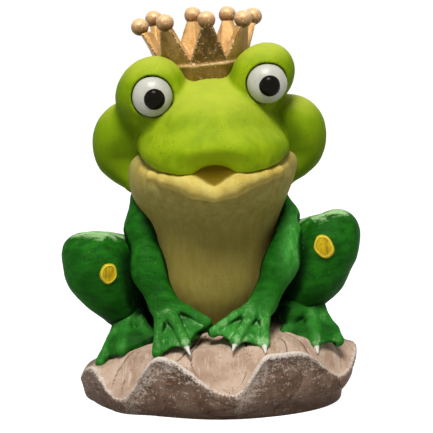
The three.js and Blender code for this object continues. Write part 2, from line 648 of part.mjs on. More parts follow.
// Dowels run along one axis, half in one casting and half in the next
const ALONG_X = new THREE.Quaternion().setFromAxisAngle(new THREE.Vector3(0, 0, 1), Math.PI / 2);
const ALONG_Y = new THREE.Quaternion();
const ALONG_Z = new THREE.Quaternion().setFromAxisAngle(new THREE.Vector3(1, 0, 0), Math.PI / 2);
const rod = (grow) =>
  new THREE.CylinderGeometry(DOWEL_RADIUS + grow, DOWEL_RADIUS + grow, DOWEL_LENGTH + 2 * grow, 12);
const bellyTop = MOUTH_Z - 14;
const bellyFoot = SEAT_HEIGHT + 22;
const crownDowelDrop = DOWEL_LENGTH / 2 - CROWN_FLOOR * 0.6;
const dowels = [
  { name: "neck_dowel", at: slide(BODY_SLANT, [0, 10, MOUTH_Z]), along: ALONG_Z },
  { name: "crown_dowel", at: crownBase.clone().setZ(crownBase.z - crownDowelDrop), along: ALONG_Z },
  { name: "belly_dowel_upper", at: slide(BODY_SLANT, [0, seamY(bellyTop), bellyTop]), along: ALONG_Y },
  { name: "belly_dowel_lower", at: slide(BODY_SLANT, [0, seamY(bellyFoot), bellyFoot]), along: ALONG_Y },
];
for (const side of [1, -1]) {
  const name = side > 0 ? "left" : "right";
  const base = slide(BODY_SLANT, [side * 10, 12, SEAT_HEIGHT]);
  const hip = slide(BODY_SLANT, [(side * HIP_WIDTH) / 2, 12, SEAT_HEIGHT + 20]);
  dowels.push({ name: `base_dowel_${name}`, at: base, along: ALONG_Z });
  dowels.push({ name: `hip_dowel_${name}`, at: hip, along: ALONG_X });
}
const bores = dowels.map(({ at, along }) => solid(moved(rod(GLUE_GAP / 3).applyQuaternion(along), at)));

// Castings
const leaf = leafSolid();
const overLeaf = leaf.translate([0, 0, GLUE_GAP]);
const headSkin = skin(headField, HEAD_CELL);
const bellySkin = skin(bodyField, BELLY_CELL);
const backSkin = skin(bodyField, BACK_CELL);
const headRoom = room(headSkin, GLUE_GAP);
const bodyRoom = room(backSkin, 2 * GLUE_GAP);

const ornament = new THREE.Group();
ornament.add(mesh("leaf_base", cutBy(leaf, bores), STONE));

const bodyTools = [headRoom, overLeaf, ...bores];
const belly = solid(bellySkin).intersect(frontOfSeam(-GLUE_GAP / 2));
ornament.add(mesh("belly_front", cutBy(belly, bodyTools), CREAM));
const back = solid(backSkin).subtract(frontOfSeam(GLUE_GAP / 2));
ornament.add(mesh("torso_back", cutBy(back, bodyTools), GREEN));

const sockets = [1, -1].map((side) =>
  solid(moved(lens(EYE_RADIUS + GLUE_GAP, EYE_THICKNESS + 2 * GLUE_GAP), eyePlace(side))),
);
ornament.add(mesh("head", cutBy(solid(headSkin), [...sockets, inCrown(crownRoom()), ...bores]), LIME));

for (const side of [1, -1]) {
  const name = side > 0 ? "left" : "right";

  const white = solid(moved(lens(EYE_RADIUS, EYE_THICKNESS), eyePlace(side)));
  const pupilRoom = lens(PUPIL_RADIUS + GLUE_GAP, PUPIL_THICKNESS + 2 * GLUE_GAP);
  ornament.add(mesh(`${name}_eye_white`, white.subtract(solid(moved(pupilRoom, pupilPlace(side)))), WHITE));
  const pupil = new THREE.Mesh(lens(PUPIL_RADIUS, PUPIL_THICKNESS), BLACK);
  pupil.name = `${name}_pupil`;
  pupil.position.copy(pupilPlace(side));
  ornament.add(pupil);

  const armSkin = skin(slanted(BODY_SLANT, onSide(side, 0, foreleg)), HAND_CELL);
  const armRoom = room(armSkin, GLUE_GAP);
  ornament.add(mesh(`${name}_foreleg`, cutBy(solid(armSkin), [bodyRoom, headRoom, overLeaf]), GREEN));

  const footSkin = skin(slanted(BODY_SLANT, onSide(side, LEAF_OFFSET, hindFoot)), HAND_CELL);
  const footRoom = room(footSkin, GLUE_GAP);
  ornament.add(mesh(`${name}_hind_foot`, cutBy(solid(footSkin), [overLeaf, armRoom, bodyRoom]), GREEN));

  const legField = slanted(BODY_SLANT, onSide(side, 0, hindLeg));
  const [inset, drop] = side > 0 ? [LEFT_SPOT_INSET, LEFT_SPOT_DROP] : [RIGHT_SPOT_INSET, RIGHT_SPOT_DROP];
  const spotX = side * (KNEE[0] - inset);
  const spotPlace = landing(legField, spotX, KNEE[2] - drop + BODY_SLANT * spotX);
  const facing = new THREE.Vector3(...slope(legField, spotPlace)).normalize();
  const spotTurn = new THREE.Quaternion().setFromUnitVectors(new THREE.Vector3(0, -1, 0), facing);
  const spotShape = (grow) =>
    lens(SPOT_WIDTH / 2 + grow, SPOT_THICKNESS + 2 * grow)
      .scale(1, 1, (SPOT_HEIGHT / 2 + grow) / (SPOT_WIDTH / 2 + grow))
      .applyQuaternion(spotTurn)
      .translate(...spotPlace);
  const spot = new THREE.Mesh(spotShape(0), YELLOW);
  spot.name = `${name}_thigh_spot`;
  ornament.add(spot);

  const leg = solid(skin(legField, LEG_CELL));
  const legTools = [bodyRoom, footRoom, armRoom, overLeaf, solid(spotShape(GLUE_GAP)), ...bores];
  ornament.add(mesh(`${name}_hind_leg`, cutBy(leg, legTools), GREEN));
}

const points = [...Array(CROWN_POINTS).keys()];
const crownTools = points.flatMap((i) => [
  inCrown(notch(i)),
  inCrown(moved(ballGeometry(CROWN_BALL_RADIUS + GLUE_GAP), ballPlace(i))),
]);
ornament.add(mesh("crown", cutBy(inCrown(crownCup()), [...crownTools, ...bores]), GOLD));
for (const i of points) {
  const ball = new THREE.Mesh(ballGeometry(CROWN_BALL_RADIUS), GOLD);
  ball.name = `crown_ball_${i + 1}`;
  ball.position.copy(ballPlace(i).applyQuaternion(crownPose).add(crownBase));
  ball.quaternion.copy(crownPose);
  ornament.add(ball);
}

for (const { name, at, along } of dowels) {
  const dowel = new THREE.Mesh(rod(0), STEEL);
  dowel.name = name;
  dowel.position.copy(at);
  dowel.quaternion.copy(along);
  ornament.add(dowel);
}

export default ornament;
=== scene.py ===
import math

import bpy
import numpy as np
import openvdb
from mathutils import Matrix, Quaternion, Vector


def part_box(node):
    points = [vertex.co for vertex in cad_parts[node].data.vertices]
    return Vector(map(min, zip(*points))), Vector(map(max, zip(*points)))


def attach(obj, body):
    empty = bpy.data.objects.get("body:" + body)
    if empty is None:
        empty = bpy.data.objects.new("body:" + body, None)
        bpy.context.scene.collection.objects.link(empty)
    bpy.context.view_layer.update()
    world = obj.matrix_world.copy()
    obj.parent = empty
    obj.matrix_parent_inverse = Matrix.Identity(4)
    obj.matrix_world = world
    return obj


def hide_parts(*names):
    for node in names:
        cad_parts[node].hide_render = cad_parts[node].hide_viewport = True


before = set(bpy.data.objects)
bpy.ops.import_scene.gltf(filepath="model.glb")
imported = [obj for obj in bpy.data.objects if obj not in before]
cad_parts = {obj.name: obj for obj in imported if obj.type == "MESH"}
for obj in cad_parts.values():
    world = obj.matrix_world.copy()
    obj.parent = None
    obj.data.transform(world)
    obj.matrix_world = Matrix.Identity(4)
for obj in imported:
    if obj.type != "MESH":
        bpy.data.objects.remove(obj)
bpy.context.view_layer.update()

# The studio
# A pale table in a white surround, a broad soft lamp overhead and weaker ones around it.
# The camera stands in front of the frog and a little above it, far enough back for a flat view.
# Sizes are in millimetres, and MM turns them into Blender's metres.
MM = 0.001
scene = bpy.context.scene
scene.view_settings.view_transform = "Standard"


def aim(thing, place, target):
    """Stands the camera or a lamp at a place and turns it towards its target."""
    thing.location = place
    thing.rotation_euler = (Vector(target) - Vector(place)).to_track_quat("-Z", "Y").to_euler()
    scene.collection.objects.link(thing)


CAMERA_TARGET = Vector((2.15, 0, 69.7)) * MM
CAMERA_DISTANCE = 808.5 * MM
CAMERA_RISE = math.radians(9)
SENSOR_WIDTH = 36
FOCAL_LENGTH = 174.6
lens = bpy.data.cameras.new("camera")
lens.sensor_width = SENSOR_WIDTH
lens.lens = FOCAL_LENGTH
camera = bpy.data.objects.new("camera", lens)
toward_camera = Vector((0, -math.cos(CAMERA_RISE), math.sin(CAMERA_RISE)))
aim(camera, CAMERA_TARGET + toward_camera * CAMERA_DISTANCE, CAMERA_TARGET)
scene.camera = camera

# Each lamp: its place and width in metres, and its power in watts
LAMP_TARGET = (0, 0, 0.085)
LAMPS = {
    "overhead": ((-0.06, -0.48, 0.84), 0.36, 8.6),
    "left": ((-0.85, -0.45, 0.35), 0.6, 0.6),
    "right": ((0.85, -0.4, 0.4), 0.6, 0.6),
    "back": ((0.1, 0.8, 0.6), 0.6, 1.8),
}
for name, (place, width, power) in LAMPS.items():
    lamp = bpy.data.lights.new(name, "AREA")
    lamp.shape = "DISK"
    lamp.size = width
    lamp.energy = power
    aim(bpy.data.objects.new(name, lamp), place, LAMP_TARGET)


def feed(tree, socket, value):
    """Sets a socket to a plain value, or links the output that feeds it."""
    if isinstance(value, bpy.types.NodeSocket):
        tree.links.new(value, socket)
    else:
        socket.default_value = value


def put(tree, kind, sockets=None, **settings):
    """Adds a shader node with its settings and sockets."""
    made = tree.nodes.new("ShaderNode" + kind)
    for key, value in settings.items():
        setattr(made, key, value)
    for key, value in (sockets or {}).items():
        feed(tree, made.inputs[key], value)
    return made


def worked(tree, operation, *values):
    """What a Math node makes of plain values or of other nodes' outputs."""
    return put(tree, "Math", dict(enumerate(values)), operation=operation).outputs[0]


def seen_directly(tree):
    """1 for rays that show the background itself: from the camera, a reflection or clear glass."""
    path = put(tree, "LightPath").outputs
    mirrored = worked(tree, "MAXIMUM", path["Is Glossy Ray"], path["Is Transmission Ray"])
    return worked(tree, "MAXIMUM", path["Is Camera Ray"], mirrored)


WHITE = (1, 1, 1, 1)
SURROUND_FILL = 0.17
surround = bpy.data.worlds.new("surround")
surround.use_nodes = True
scene.world = surround
tree = surround.node_tree
tree.nodes.clear()
strength = worked(tree, "MULTIPLY_ADD", seen_directly(tree), 1 - SURROUND_FILL, SURROUND_FILL)
backdrop = put(tree, "Background", {"Color": WHITE, "Strength": strength})
put(tree, "OutputWorld", {"Surface": backdrop.outputs[0]})


def new_paint(name):
    """A material with an empty node tree."""
    material = bpy.data.materials.new(name)
    material.use_nodes = True
    material.node_tree.nodes.clear()
    return material, material.node_tree


TABLE_RADIUS = 2.5
TABLE_DROP = 0.05 * MM
TABLE_GREY = (0.4, 0.4, 0.4, 1)
TABLE_GLOW = 0.94
bpy.ops.mesh.primitive_circle_add(vertices=96, radius=TABLE_RADIUS, fill_type="NGON")
table = bpy.context.object
table.name = "table"
table.location.z = -TABLE_DROP
table_paper, tree = new_paint("table_paper")
paper = put(tree, "BsdfDiffuse", {"Color": TABLE_GREY})
strength = worked(tree, "MULTIPLY", seen_directly(tree), TABLE_GLOW)
glow = put(tree, "Emission", {"Color": WHITE, "Strength": strength})
both = put(tree, "AddShader", {0: paper.outputs[0], 1: glow.outputs[0]})
put(tree, "OutputMaterial", {"Surface": both.outputs[0]})
table.data.materials.append(table_paper)

# The leaf
# A ruffled leaf cast in resin, flat below, with a rolled lip that rises and falls in waves.
# It is painted brown, veined and streaked on top, and its lip is dry-brushed nearly white.
BODY_SLANT = 0.082
LEAF_WIDTH = 107
LEAF_DEPTH = 92
LEAF_OFFSET = 3
SEAT_HEIGHT = 27
UNDERSIDE = -9
LEAF_AROUND = 448
# Half sections from the middle of the underside, out, up over the lip and in to the seat.
# Each stop is a share of the leaf's half width, and a height.
CREST_STOPS = [
    (0.02, UNDERSIDE), (0.45, UNDERSIDE), (0.85, UNDERSIDE), (0.875, UNDERSIDE), (0.9, 1),
    (0.94, 5), (0.966, 11.5), (0.976, 18.2), (0.983, 21.8), (0.995, 23.6), (0.986, 25),
    (0.958, 25.1), (0.92, 23.6), (0.85, 22.4), (0.7, 24.4), (0.42, SEAT_HEIGHT), (0.02, SEAT_HEIGHT),
]
TROUGH_STOPS = [
    (0.02, UNDERSIDE), (0.45, UNDERSIDE), (0.85, UNDERSIDE), (0.875, UNDERSIDE), (0.915, 0),
    (0.955, 1.4), (0.982, 2.9), (0.994, 4.2), (1.002, 5.4), (1.006, 6.8), (0.998, 8.3),
    (0.975, 9.3), (0.94, 11.2), (0.86, 16.6), (0.73, 23.4), (0.42, SEAT_HEIGHT), (0.02, SEAT_HEIGHT),
]
WALL_STOP = 4
LIP_STOP = 10
# Each wave: its turn in degrees from the front, towards the frog's left, and its share of a crest
WAVES = [
    (-66, 0.58), (-43.5, 0), (-25, 1), (6, 0.07), (21, 0.87), (32, 0.84), (61, 0), (92, 0.4), (126, 0.1),
    (150, 0.65), (178, 0.1), (204, 0.65), (230, 0.1), (252, 0.3), (270, 0.2), (294, 0.58),
]


def ruffle(degrees):
    """The share of a full crest at each turn, swinging from one wave to the next."""
    turns, shares = np.array(WAVES).T
    around = (degrees - turns[0]) % 360 + turns[0]
    last = np.clip(np.searchsorted(turns, around, side="right") - 1, 0, len(turns) - 2)
    step = (around - turns[last]) / (turns[last + 1] - turns[last])
    return shares[last + 1] + (shares[last] - shares[last + 1]) * (1 + np.cos(np.pi * step)) / 2


def flowing(stops, places):
    """A smooth curve through the stops. Place 2.5 is half way from stop 2 to stop 3."""
    stops = np.asarray(stops, float)
    padded = np.vstack([2 * stops[0] - stops[1], stops, 2 * stops[-1] - stops[-2]])
    start = np.clip(places.astype(int), 0, len(stops) - 2)
    t = (places - start)[:, None]
    before, here, after, beyond = (padded[start + k] for k in range(4))
    bend = 2 * before - 5 * here + 4 * after - beyond
    twist = 3 * here - before - 3 * after + beyond
    return here + 0.5 * t * (after - before + t * (bend + t * twist))


LUMP_WAVES = 9


def lumps(places, size, seed):
    """The unevenness of hand-worked clay, about -1 to 1, in swells of the given size."""
    draw = np.random.default_rng(seed)
    total = 0
    for turn in draw.normal(size=(LUMP_WAVES, 3)):
        wave = turn / np.linalg.norm(turn) * (2 * math.pi / size) * draw.uniform(0.6, 1.4)
        total = total + np.sin(places @ wave + draw.uniform(0, 2 * math.pi))
    return total / (LUMP_WAVES / 2)


def swells(places, broad, fine, seed):
    """Broad lumps with finer ones on them."""
    return lumps(places, broad, seed) * 0.6 + lumps(places, fine, seed + 1) * 0.4


def closed_rings(rings):
    """Points and faces of a form laid up from closed rings, with a fan over each end."""
    rows, columns = rings.shape[:2]
    corner = np.arange(rows * columns).reshape(rows, columns)
    beside = np.roll(corner, -1, axis=1)
    walls = np.stack([corner[:-1], beside[:-1], beside[1:], corner[1:]], axis=-1)
    foot, top = rows * columns, rows * columns + 1
    fans = [[foot, b, a] for a, b in zip(corner[0].tolist(), beside[0].tolist())]
    fans += [[top, a, b] for a, b in zip(corner[-1].tolist(), beside[-1].tolist())]
    points = np.vstack([rings.reshape(-1, 3), rings[0].mean(axis=0), rings[-1].mean(axis=0)])
    return points, walls.reshape(-1, 4).tolist() + fans


def make_piece(name, points, faces, node, slot):
    """A smooth mesh, from points in millimetres, that stands for a CAD node."""
    mesh = bpy.data.meshes.new(name)
    mesh.from_pydata((points * MM).tolist(), [], faces)
    mesh.shade_smooth()
    piece = bpy.data.objects.new(name, mesh)
    scene.collection.objects.link(piece)
    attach(piece, "root")
    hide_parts(node)
    return piece


def mark(piece, **masks):
    """Keeps masks for the paint on the points of a piece."""
    for name, values in masks.items():
        layer = piece.data.attributes.new(name, "FLOAT", "POINT")
        layer.data.foreach_set("value", np.ascontiguousarray(values, np.float32))


# Rows of points along the half section: from which stop, to which, and how many
LEAF_ROWS = [(0, 3, 8), (3, 7, 22), (7, 13, 40), (13, 16, 40)]
leaf_places = np.concatenate([
    np.linspace(first, last, rows, endpoint=last == LEAF_ROWS[-1][1]) for first, last, rows in LEAF_ROWS
])
leaf_turns = np.arange(LEAF_AROUND) / LEAF_AROUND * 360
leaf_waves = ruffle(leaf_turns)
trough_line = flowing(TROUGH_STOPS, leaf_places)[:, None, :]
crest_line = flowing(CREST_STOPS, leaf_places)[:, None, :]
leaf_section = trough_line + leaf_waves[None, :, None] * (crest_line - trough_line)
leaf_share, leaf_height = leaf_section[..., 0], leaf_section[..., 1]
outward = np.stack([np.sin(np.radians(leaf_turns)), -np.cos(np.radians(leaf_turns))], axis=-1)
leaf_x = LEAF_OFFSET + leaf_share * outward[:, 0] * LEAF_WIDTH / 2
leaf_y = leaf_share * outward[:, 1] * LEAF_DEPTH / 2
leaf_rings = np.stack([leaf_x, leaf_y, leaf_height + BODY_SLANT * leaf_x], axis=-1)

# Veins wander out over the top and cracks run up the wall. Both fade towards the lip.
VEINS = 36
VEIN_DEPTH = 0.55
VEIN_WIDTH = 0.42
VEIN_FADE = 1.5
row_place = leaf_places[:, None]
on_top = np.clip((row_place - LIP_STOP - 0.5) / VEIN_FADE, 0, 1)
above_foot = np.clip((row_place - WALL_STOP + 0.5) / 0.5, 0, 1)
on_wall = np.clip((LIP_STOP - 1 - row_place) / VEIN_FADE, 0, 1) * above_foot
veins = np.zeros_like(leaf_share)
draw = np.random.default_rng(7)
for vein in range(VEINS):
    start = 360 * (vein + draw.uniform(-0.35, 0.35)) / VEINS
    wander = draw.uniform(2, 6) * np.sin(row_place * draw.uniform(0.8, 2.2) + draw.uniform(0, 6))
    aside = (leaf_turns - start - wander + 180) % 360 - 180
    across = np.radians(aside) * np.maximum(leaf_share, 0.2) * LEAF_WIDTH / 2
    inner, outer = np.sort(draw.uniform(LIP_STOP + 0.5, LIP_STOP + 5.5, 2)) + [-0.6, 0.6]
    length = on_wall if vein % 3 == 0 else on_top * (row_place > inner) * (row_place < outer)
    veins = np.maximum(veins, length * np.exp(-((across / VEIN_WIDTH) ** 2)))

# The casting is uneven and bulges up under the hands. Swells on its wall stay behind its outline.
LEAF_SWELL = 0.35
WALL_SETBACK = 0.6
HAND_BULGE = 1.7
HAND_BULGE_TURN = 32
HAND_BULGE_SHARE = 0.74
HAND_BULGE_REACH = 0.07
swell = swells(leaf_rings, 16, 6, 3)
from_front = (leaf_turns + 180) % 360 - 180
across_hands = np.exp(-((from_front / HAND_BULGE_TURN) ** 2))
under_hands = across_hands * np.exp(-(((leaf_share - HAND_BULGE_SHARE) / HAND_BULGE_REACH) ** 2))
leaf_rings[..., 2] += on_top * HAND_BULGE * under_hands
leaf_rings[..., 2] += on_top * (LEAF_SWELL * swell - VEIN_DEPTH * veins)
wall_relief = on_wall * (LEAF_SWELL * (swell - WALL_SETBACK) - VEIN_DEPTH * veins)
leaf_rings[..., :2] += outward * wall_relief[..., None]
leaf_rings[..., 2] = np.maximum(leaf_rings[..., 2], 0)
leaf = make_piece("leaf", *closed_rings(leaf_rings), "leaf_base", "leaf_stone")


def over_rings(values):
    """One value for each point of closed rings, from one for each place on them."""
    return np.concatenate([values.ravel(), [values[0].mean(), values[-1].mean()]])


# How far the pale dry brush reaches from the lip on a crest, inwards and down the wall.
# It also caught the flanks of the waves that face the frog's right. The wall is painted darker towards its
# foot.
PALE_INWARD = 2.6
PALE_DOWN = 2.4
RUBBED_DOWN = 7
FLANK_DOWN = 11
FLANK_COLUMNS = 6
FLANK_CLIMB = 0.3
DARKER_FOOT_HEIGHT = 9
steps = np.linalg.norm(np.diff(leaf_section * [LEAF_WIDTH / 2, 1], axis=0), axis=-1)
run = np.vstack([np.zeros(LEAF_AROUND), np.cumsum(steps, axis=0)])
from_lip = run - run[np.argmin(np.abs(leaf_places - LIP_STOP))]
pale_reach = np.where(from_lip > 0, PALE_INWARD, PALE_DOWN) * (0.4 + 0.6 * leaf_waves)
climb = np.roll(leaf_waves, -FLANK_COLUMNS) - np.roll(leaf_waves, FLANK_COLUMNS)
wave_flank = np.clip(climb / FLANK_CLIMB - 0.1, 0, 1) ** 1.5
below_lip = np.minimum(from_lip, 0)
rubbed = np.exp(-((below_lip / RUBBED_DOWN) ** 2)) * leaf_waves * 0.8
mark(
    leaf,
    rim=over_rings(np.exp(-((from_lip / pale_reach) ** 2)) * (0.65 + 0.35 * leaf_waves)),
    rubbed=over_rings(np.maximum(rubbed, np.exp(-((below_lip / FLANK_DOWN) ** 2)) * wave_flank)),
    wall=over_rings(np.clip((LIP_STOP + 0.2 - row_place) / 0.6, 0, 1) * np.ones_like(leaf_share)),
    vein=over_rings(veins),
    low=over_rings(np.clip(1 - leaf_rings[..., 2] / DARKER_FOOT_HEIGHT, 0, 1)),
)


def colour(code):
    """A web colour in the linear values that Blender's sockets take."""
    parts = [int(code[i : i + 2], 16) / 255 for i in (1, 3, 5)]
    return (*[c / 12.92 if c <= 0.04045 else ((c + 0.055) / 1.055) ** 2.4 for c in parts], 1.0)


def mixed(tree, share, first, second):
    """A colour that goes from the first to the second as the share goes from 0 to 1."""
    return put(tree, "Mix", {0: share, 6: first, 7: second}, data_type="RGBA").outputs[2]


def ranged(tree, value, low, high, bottom=0.0, top=1.0):
    """Rises smoothly from bottom to top as the value goes from low to high."""
    sockets = {"Value": value, "From Min": low, "From Max": high, "To Min": bottom, "To Max": top}
    return put(tree, "MapRange", sockets, interpolation_type="SMOOTHSTEP").outputs["Result"]


def mask(tree, name):
    """A mask that was kept on the points of a piece."""
    return put(tree, "Attribute", attribute_name=name).outputs["Fac"]


def on_object(tree):
    """The place of each point on the object, in metres."""
    return put(tree, "TexCoord").outputs["Object"]


def grain(tree, where, scale, detail=3.0):
    """Even grain, with about so many grains to a metre."""
    sockets = {"Vector": where, "Scale": scale, "Detail": detail, "Roughness": 0.6}
    return put(tree, "TexNoise", sockets).outputs["Fac"]


def strokes(tree, where, scale):
    """Brush strokes: grain that is finer across the stroke than along it."""
    stretched = put(tree, "Mapping", {"Vector": where, "Scale": scale}).outputs["Vector"]
    return grain(tree, stretched, 1.0, 4)


def glazed(tree, base, covering, amount, code):
    """Lays a colour over the base where a mask covers it, by the given amount at most."""
    return mixed(tree, worked(tree, "MULTIPLY", covering, amount), base, colour(code))


def new_effect(name, inputs, outputs):
    """A shader group with named sockets. Returns it with its input and output ends."""
    tree = bpy.data.node_groups.new(name, "ShaderNodeTree")
    for way, sockets in (("INPUT", inputs), ("OUTPUT", outputs)):
        for title, kind in sockets.items():
            tree.interface.new_socket(title, in_out=way, socket_type="NodeSocket" + kind)
    return tree, tree.nodes.new("NodeGroupInput").outputs, tree.nodes.new("NodeGroupOutput").inputs


def effect(tree, group, sockets):
    """Places a shader group with its own values. Returns its outputs."""
    return put(tree, "Group", sockets, node_tree=group).outputs


def finish_paint(tree, base, rough, height, depth, **constants):
    """Closes a material: colour, roughness and relief vary, and the rest is the same all over."""
    relief = put(tree, "Bump", {"Height": height, "Distance": depth})
    sockets = {"Base Color": base, "Roughness": rough, "Normal": relief.outputs["Normal"]}
    sockets.update({key.replace("_", " "): value for key, value in constants.items()})
    shader = put(tree, "BsdfPrincipled", sockets)
    put(tree, "OutputMaterial", {"Surface": shader.outputs["BSDF"]})


# Pits that the casting shows under its paint, and grains of paint that stand on it
pitted_casting, ends_in, ends_out = new_effect(
    "pitted_casting", {"Scale": "Float"}, {"Pits": "Float", "Grains": "Float"})
tree = pitted_casting
at = on_object(tree)
cells = put(tree, "TexVoronoi", {"Vector": at, "Scale": ends_in["Scale"]})
chance = put(tree, "SeparateColor", {"Color": cells.outputs["Color"]}).outputs
clusters = ranged(tree, grain(tree, at, 70), 0.44, 0.6)
near_middle = ranged(tree, cells.outputs["Distance"], 0.34, 0.1)
small = worked(tree, "MULTIPLY", near_middle, clusters)
for title, channel, least in (("Pits", 0, 0.55), ("Grains", 1, 0.75)):
    few = ranged(tree, chance[channel], least, least + 0.1)
    feed(tree, ends_out[title], worked(tree, "MULTIPLY", few, small))

leaf_paint, tree = new_paint("leaf_paint")
at = on_object(tree)
blotches = grain(tree, at, 130, 5)
fine = grain(tree, at, 420, 9)
streaks = strokes(tree, at, (900, 160, 160))
scratches = strokes(tree, at, (240, 240, 900))
specks = grain(tree, at, 1500, 2)
pits = effect(tree, pitted_casting, {"Scale": 1100})
top_tone = mixed(tree, ranged(tree, blotches, 0.3, 0.7), colour("#a98b74"), colour("#cdb29c"))
top_tone = mixed(tree, ranged(tree, streaks, 0.52, 0.75), top_tone, colour("#d6c1ac"))
wall_tone = mixed(tree, ranged(tree, blotches, 0.35, 0.65), colour("#634a38"), colour("#8f7462"))
rubbing = worked(tree, "MULTIPLY_ADD", mask(tree, "rubbed"), 0.46, worked(tree, "ADD", fine, scratches))
rubbing = worked(tree, "MULTIPLY_ADD", specks, 1.4, rubbing)
rubbing = worked(tree, "MULTIPLY", ranged(tree, rubbing, 1.8, 2.2), 0.8)
wall_tone = mixed(tree, rubbing, wall_tone, colour("#cdbdae"))
base = mixed(tree, mask(tree, "wall"), top_tone, wall_tone)
# The wall is painted darker towards its foot
base = glazed(tree, base, mask(tree, "low"), 0.7, "#3d2b22")
base = mixed(tree, ranged(tree, mask(tree, "vein"), 0.2, 1.1), base, colour("#49352a"))
patchy = worked(tree, "MULTIPLY_ADD", worked(tree, "ADD", fine, specks), 1.5, mask(tree, "rim"))
base = mixed(tree, ranged(tree, patchy, 1.85, 2.5), base, colour("#dccfc2"))
base = glazed(tree, base, pits["Pits"], 0.4, "#3a2b22")
relief = worked(tree, "ADD", fine, streaks)
relief = worked(tree, "MULTIPLY_ADD", pits["Pits"], -1.4, relief)
rough = ranged(tree, blotches, 0.3, 0.7, 0.62, 0.85)
finish_paint(tree, base, rough, relief, 0.2 * MM, Specular_IOR_Level=0.15)
leaf.data.materials.append(leaf_paint)

# The body
# Two resin castings glued along a sloping seam that the forelegs hide: a green back, and a front
# with the belly, the throat and a thick lower lip. The front is brushed olive cream, its lip yellow.
NEVER_ZERO = 1e-6


def egg(middle, half):
    """An ellipsoid of clay. A clay gives the distance to its surface, negative inside."""

    def clay(x, y, z):
        a, b, c = ((v - m) / h for v, m, h in zip((x, y, z), middle, half))
        near = np.sqrt(a * a + b * b + c * c) + NEVER_ZERO
        steep = np.sqrt((a / half[0]) ** 2 + (b / half[1]) ** 2 + (c / half[2]) ** 2) + NEVER_ZERO
        return near * (near - 1) / steep

    return clay


def roll(start, end):
    """A roll of clay between two places, each given with the radius there."""
    (ax, ay, az, start_radius), (bx, by, bz, end_radius) = start, end
    dx, dy, dz = bx - ax, by - ay, bz - az
    square = dx * dx + dy * dy + dz * dz

    def clay(x, y, z):
        t = np.clip(((x - ax) * dx + (y - ay) * dy + (z - az) * dz) / square, 0, 1)
        off = (x - ax - t * dx) ** 2 + (y - ay - t * dy) ** 2 + (z - az - t * dz) ** 2
        return np.sqrt(off) - start_radius - t * (end_radius - start_radius)

    return clay


def soft_least(a, b, soft):
    """The lesser of two distances, smoothed over where they are nearly the same."""
    share = np.maximum(soft - np.abs(a - b), 0) / soft
    return np.minimum(a, b) - share * share * soft / 4


def melt(soft, *clays):
    """Clays pressed together, with the joins smoothed over."""

    def clay(x, y, z):
        found = clays[0](x, y, z)
        for other in clays[1:]:
            found = soft_least(found, other(x, y, z), soft)
        return found

    return clay


def carved(clay):
    """The room left around a clay."""
    return lambda x, y, z: -clay(x, y, z)


def within(soft, *clays):
    """What lies in all of the clays, with the edges smoothed over."""
    return carved(melt(soft, *[carved(clay) for clay in clays]))


def chain(soft, *stops):
    """A roll of clay bent through several places, each given with the radius there."""
    return melt(soft, *[roll(a, b) for a, b in zip(stops, stops[1:])])


def paired(middle, clay):
    """A clay of the frog's left side together with its mirror image."""
    return lambda x, y, z: clay(np.abs(x - middle), y, z)


def slanted(rise, clay):
    """A clay whose level rises towards the frog's left."""
    return lambda x, y, z: clay(x, y, z - rise * x)


NUDGE = 0.05


def uphill(clay, points):
    """The direction in which a clay falls away at each point."""
    slope = np.stack([
        clay(*(points + step).T) - clay(*(points - step).T) for step in np.eye(3) * NUDGE
    ], axis=-1)
    return slope / (2 * NUDGE)


# How often a skin is drawn onto its clay, and how far its lumps stay behind the clay's surface
SKIN_PASSES = 3
SKIN_SETBACK = 0.7


def sculpt(name, clay, cell, node, slot, uneven=0.12, margin=1.5):
    """Skins a clay within the CAD node's box. Returns the piece, its points and where they face."""
    low, high = (np.array(corner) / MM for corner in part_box(node))
    middle, half = (low + high) / 2, (high - low) / 2 + margin

    def boxed(x, y, z):
        beyond = [np.abs(v - m) - h for v, m, h in zip((x, y, z), middle, half)]
        return np.maximum.reduce([clay(x, y, z), *beyond])

    axes = [np.arange(m - h - 2 * cell, m + h + 3 * cell, cell) for m, h in zip(middle, half)]
    grid = openvdb.FloatGrid(3 * cell)
    grid.copyFromArray(boxed(*np.meshgrid(*axes, indexing="ij")).astype(np.float32))
    points, _, quads = grid.convertToPolygons(isovalue=0.0, adaptivity=0.0)
    points = points * cell + np.array([axis[0] for axis in axes])
    for _ in range(SKIN_PASSES):
        slope = uphill(boxed, points)
        steep = np.maximum((slope**2).sum(axis=1), 0.2)
        points -= slope * np.clip(boxed(*points.T) / steep, -cell / 3, cell / 3)[:, None]
    facing = uphill(boxed, points)
    facing /= np.maximum(np.linalg.norm(facing, axis=1), NEVER_ZERO)[:, None]
    swell = swells(points, 9, 3.5, 11) - SKIN_SETBACK
    piece = make_piece(name, points + facing * (uneven * swell)[:, None], quads.tolist(), node, slot)
    return piece, points, facing


def hollow(clay, points, facing, reach):
    """How much clay stands in front of each point, from 0 in the open to 1 in a crease."""
    return np.clip(1 - clay(*(points + facing * reach).T) / reach, 0, 1)


def crest(clay, points, facing, reach):
    """How little clay stands behind each point, from 0 on a flat to 1 on a sharp edge."""
    return np.clip(1 + clay(*(points - facing * reach).T) / reach, 0, 1)


def rising(values, low, high):
    """Rises smoothly from 0 to 1 as the values go from low to high."""
    t = np.clip((values - low) / (high - low), 0, 1)
    return t * t * (3 - 2 * t)


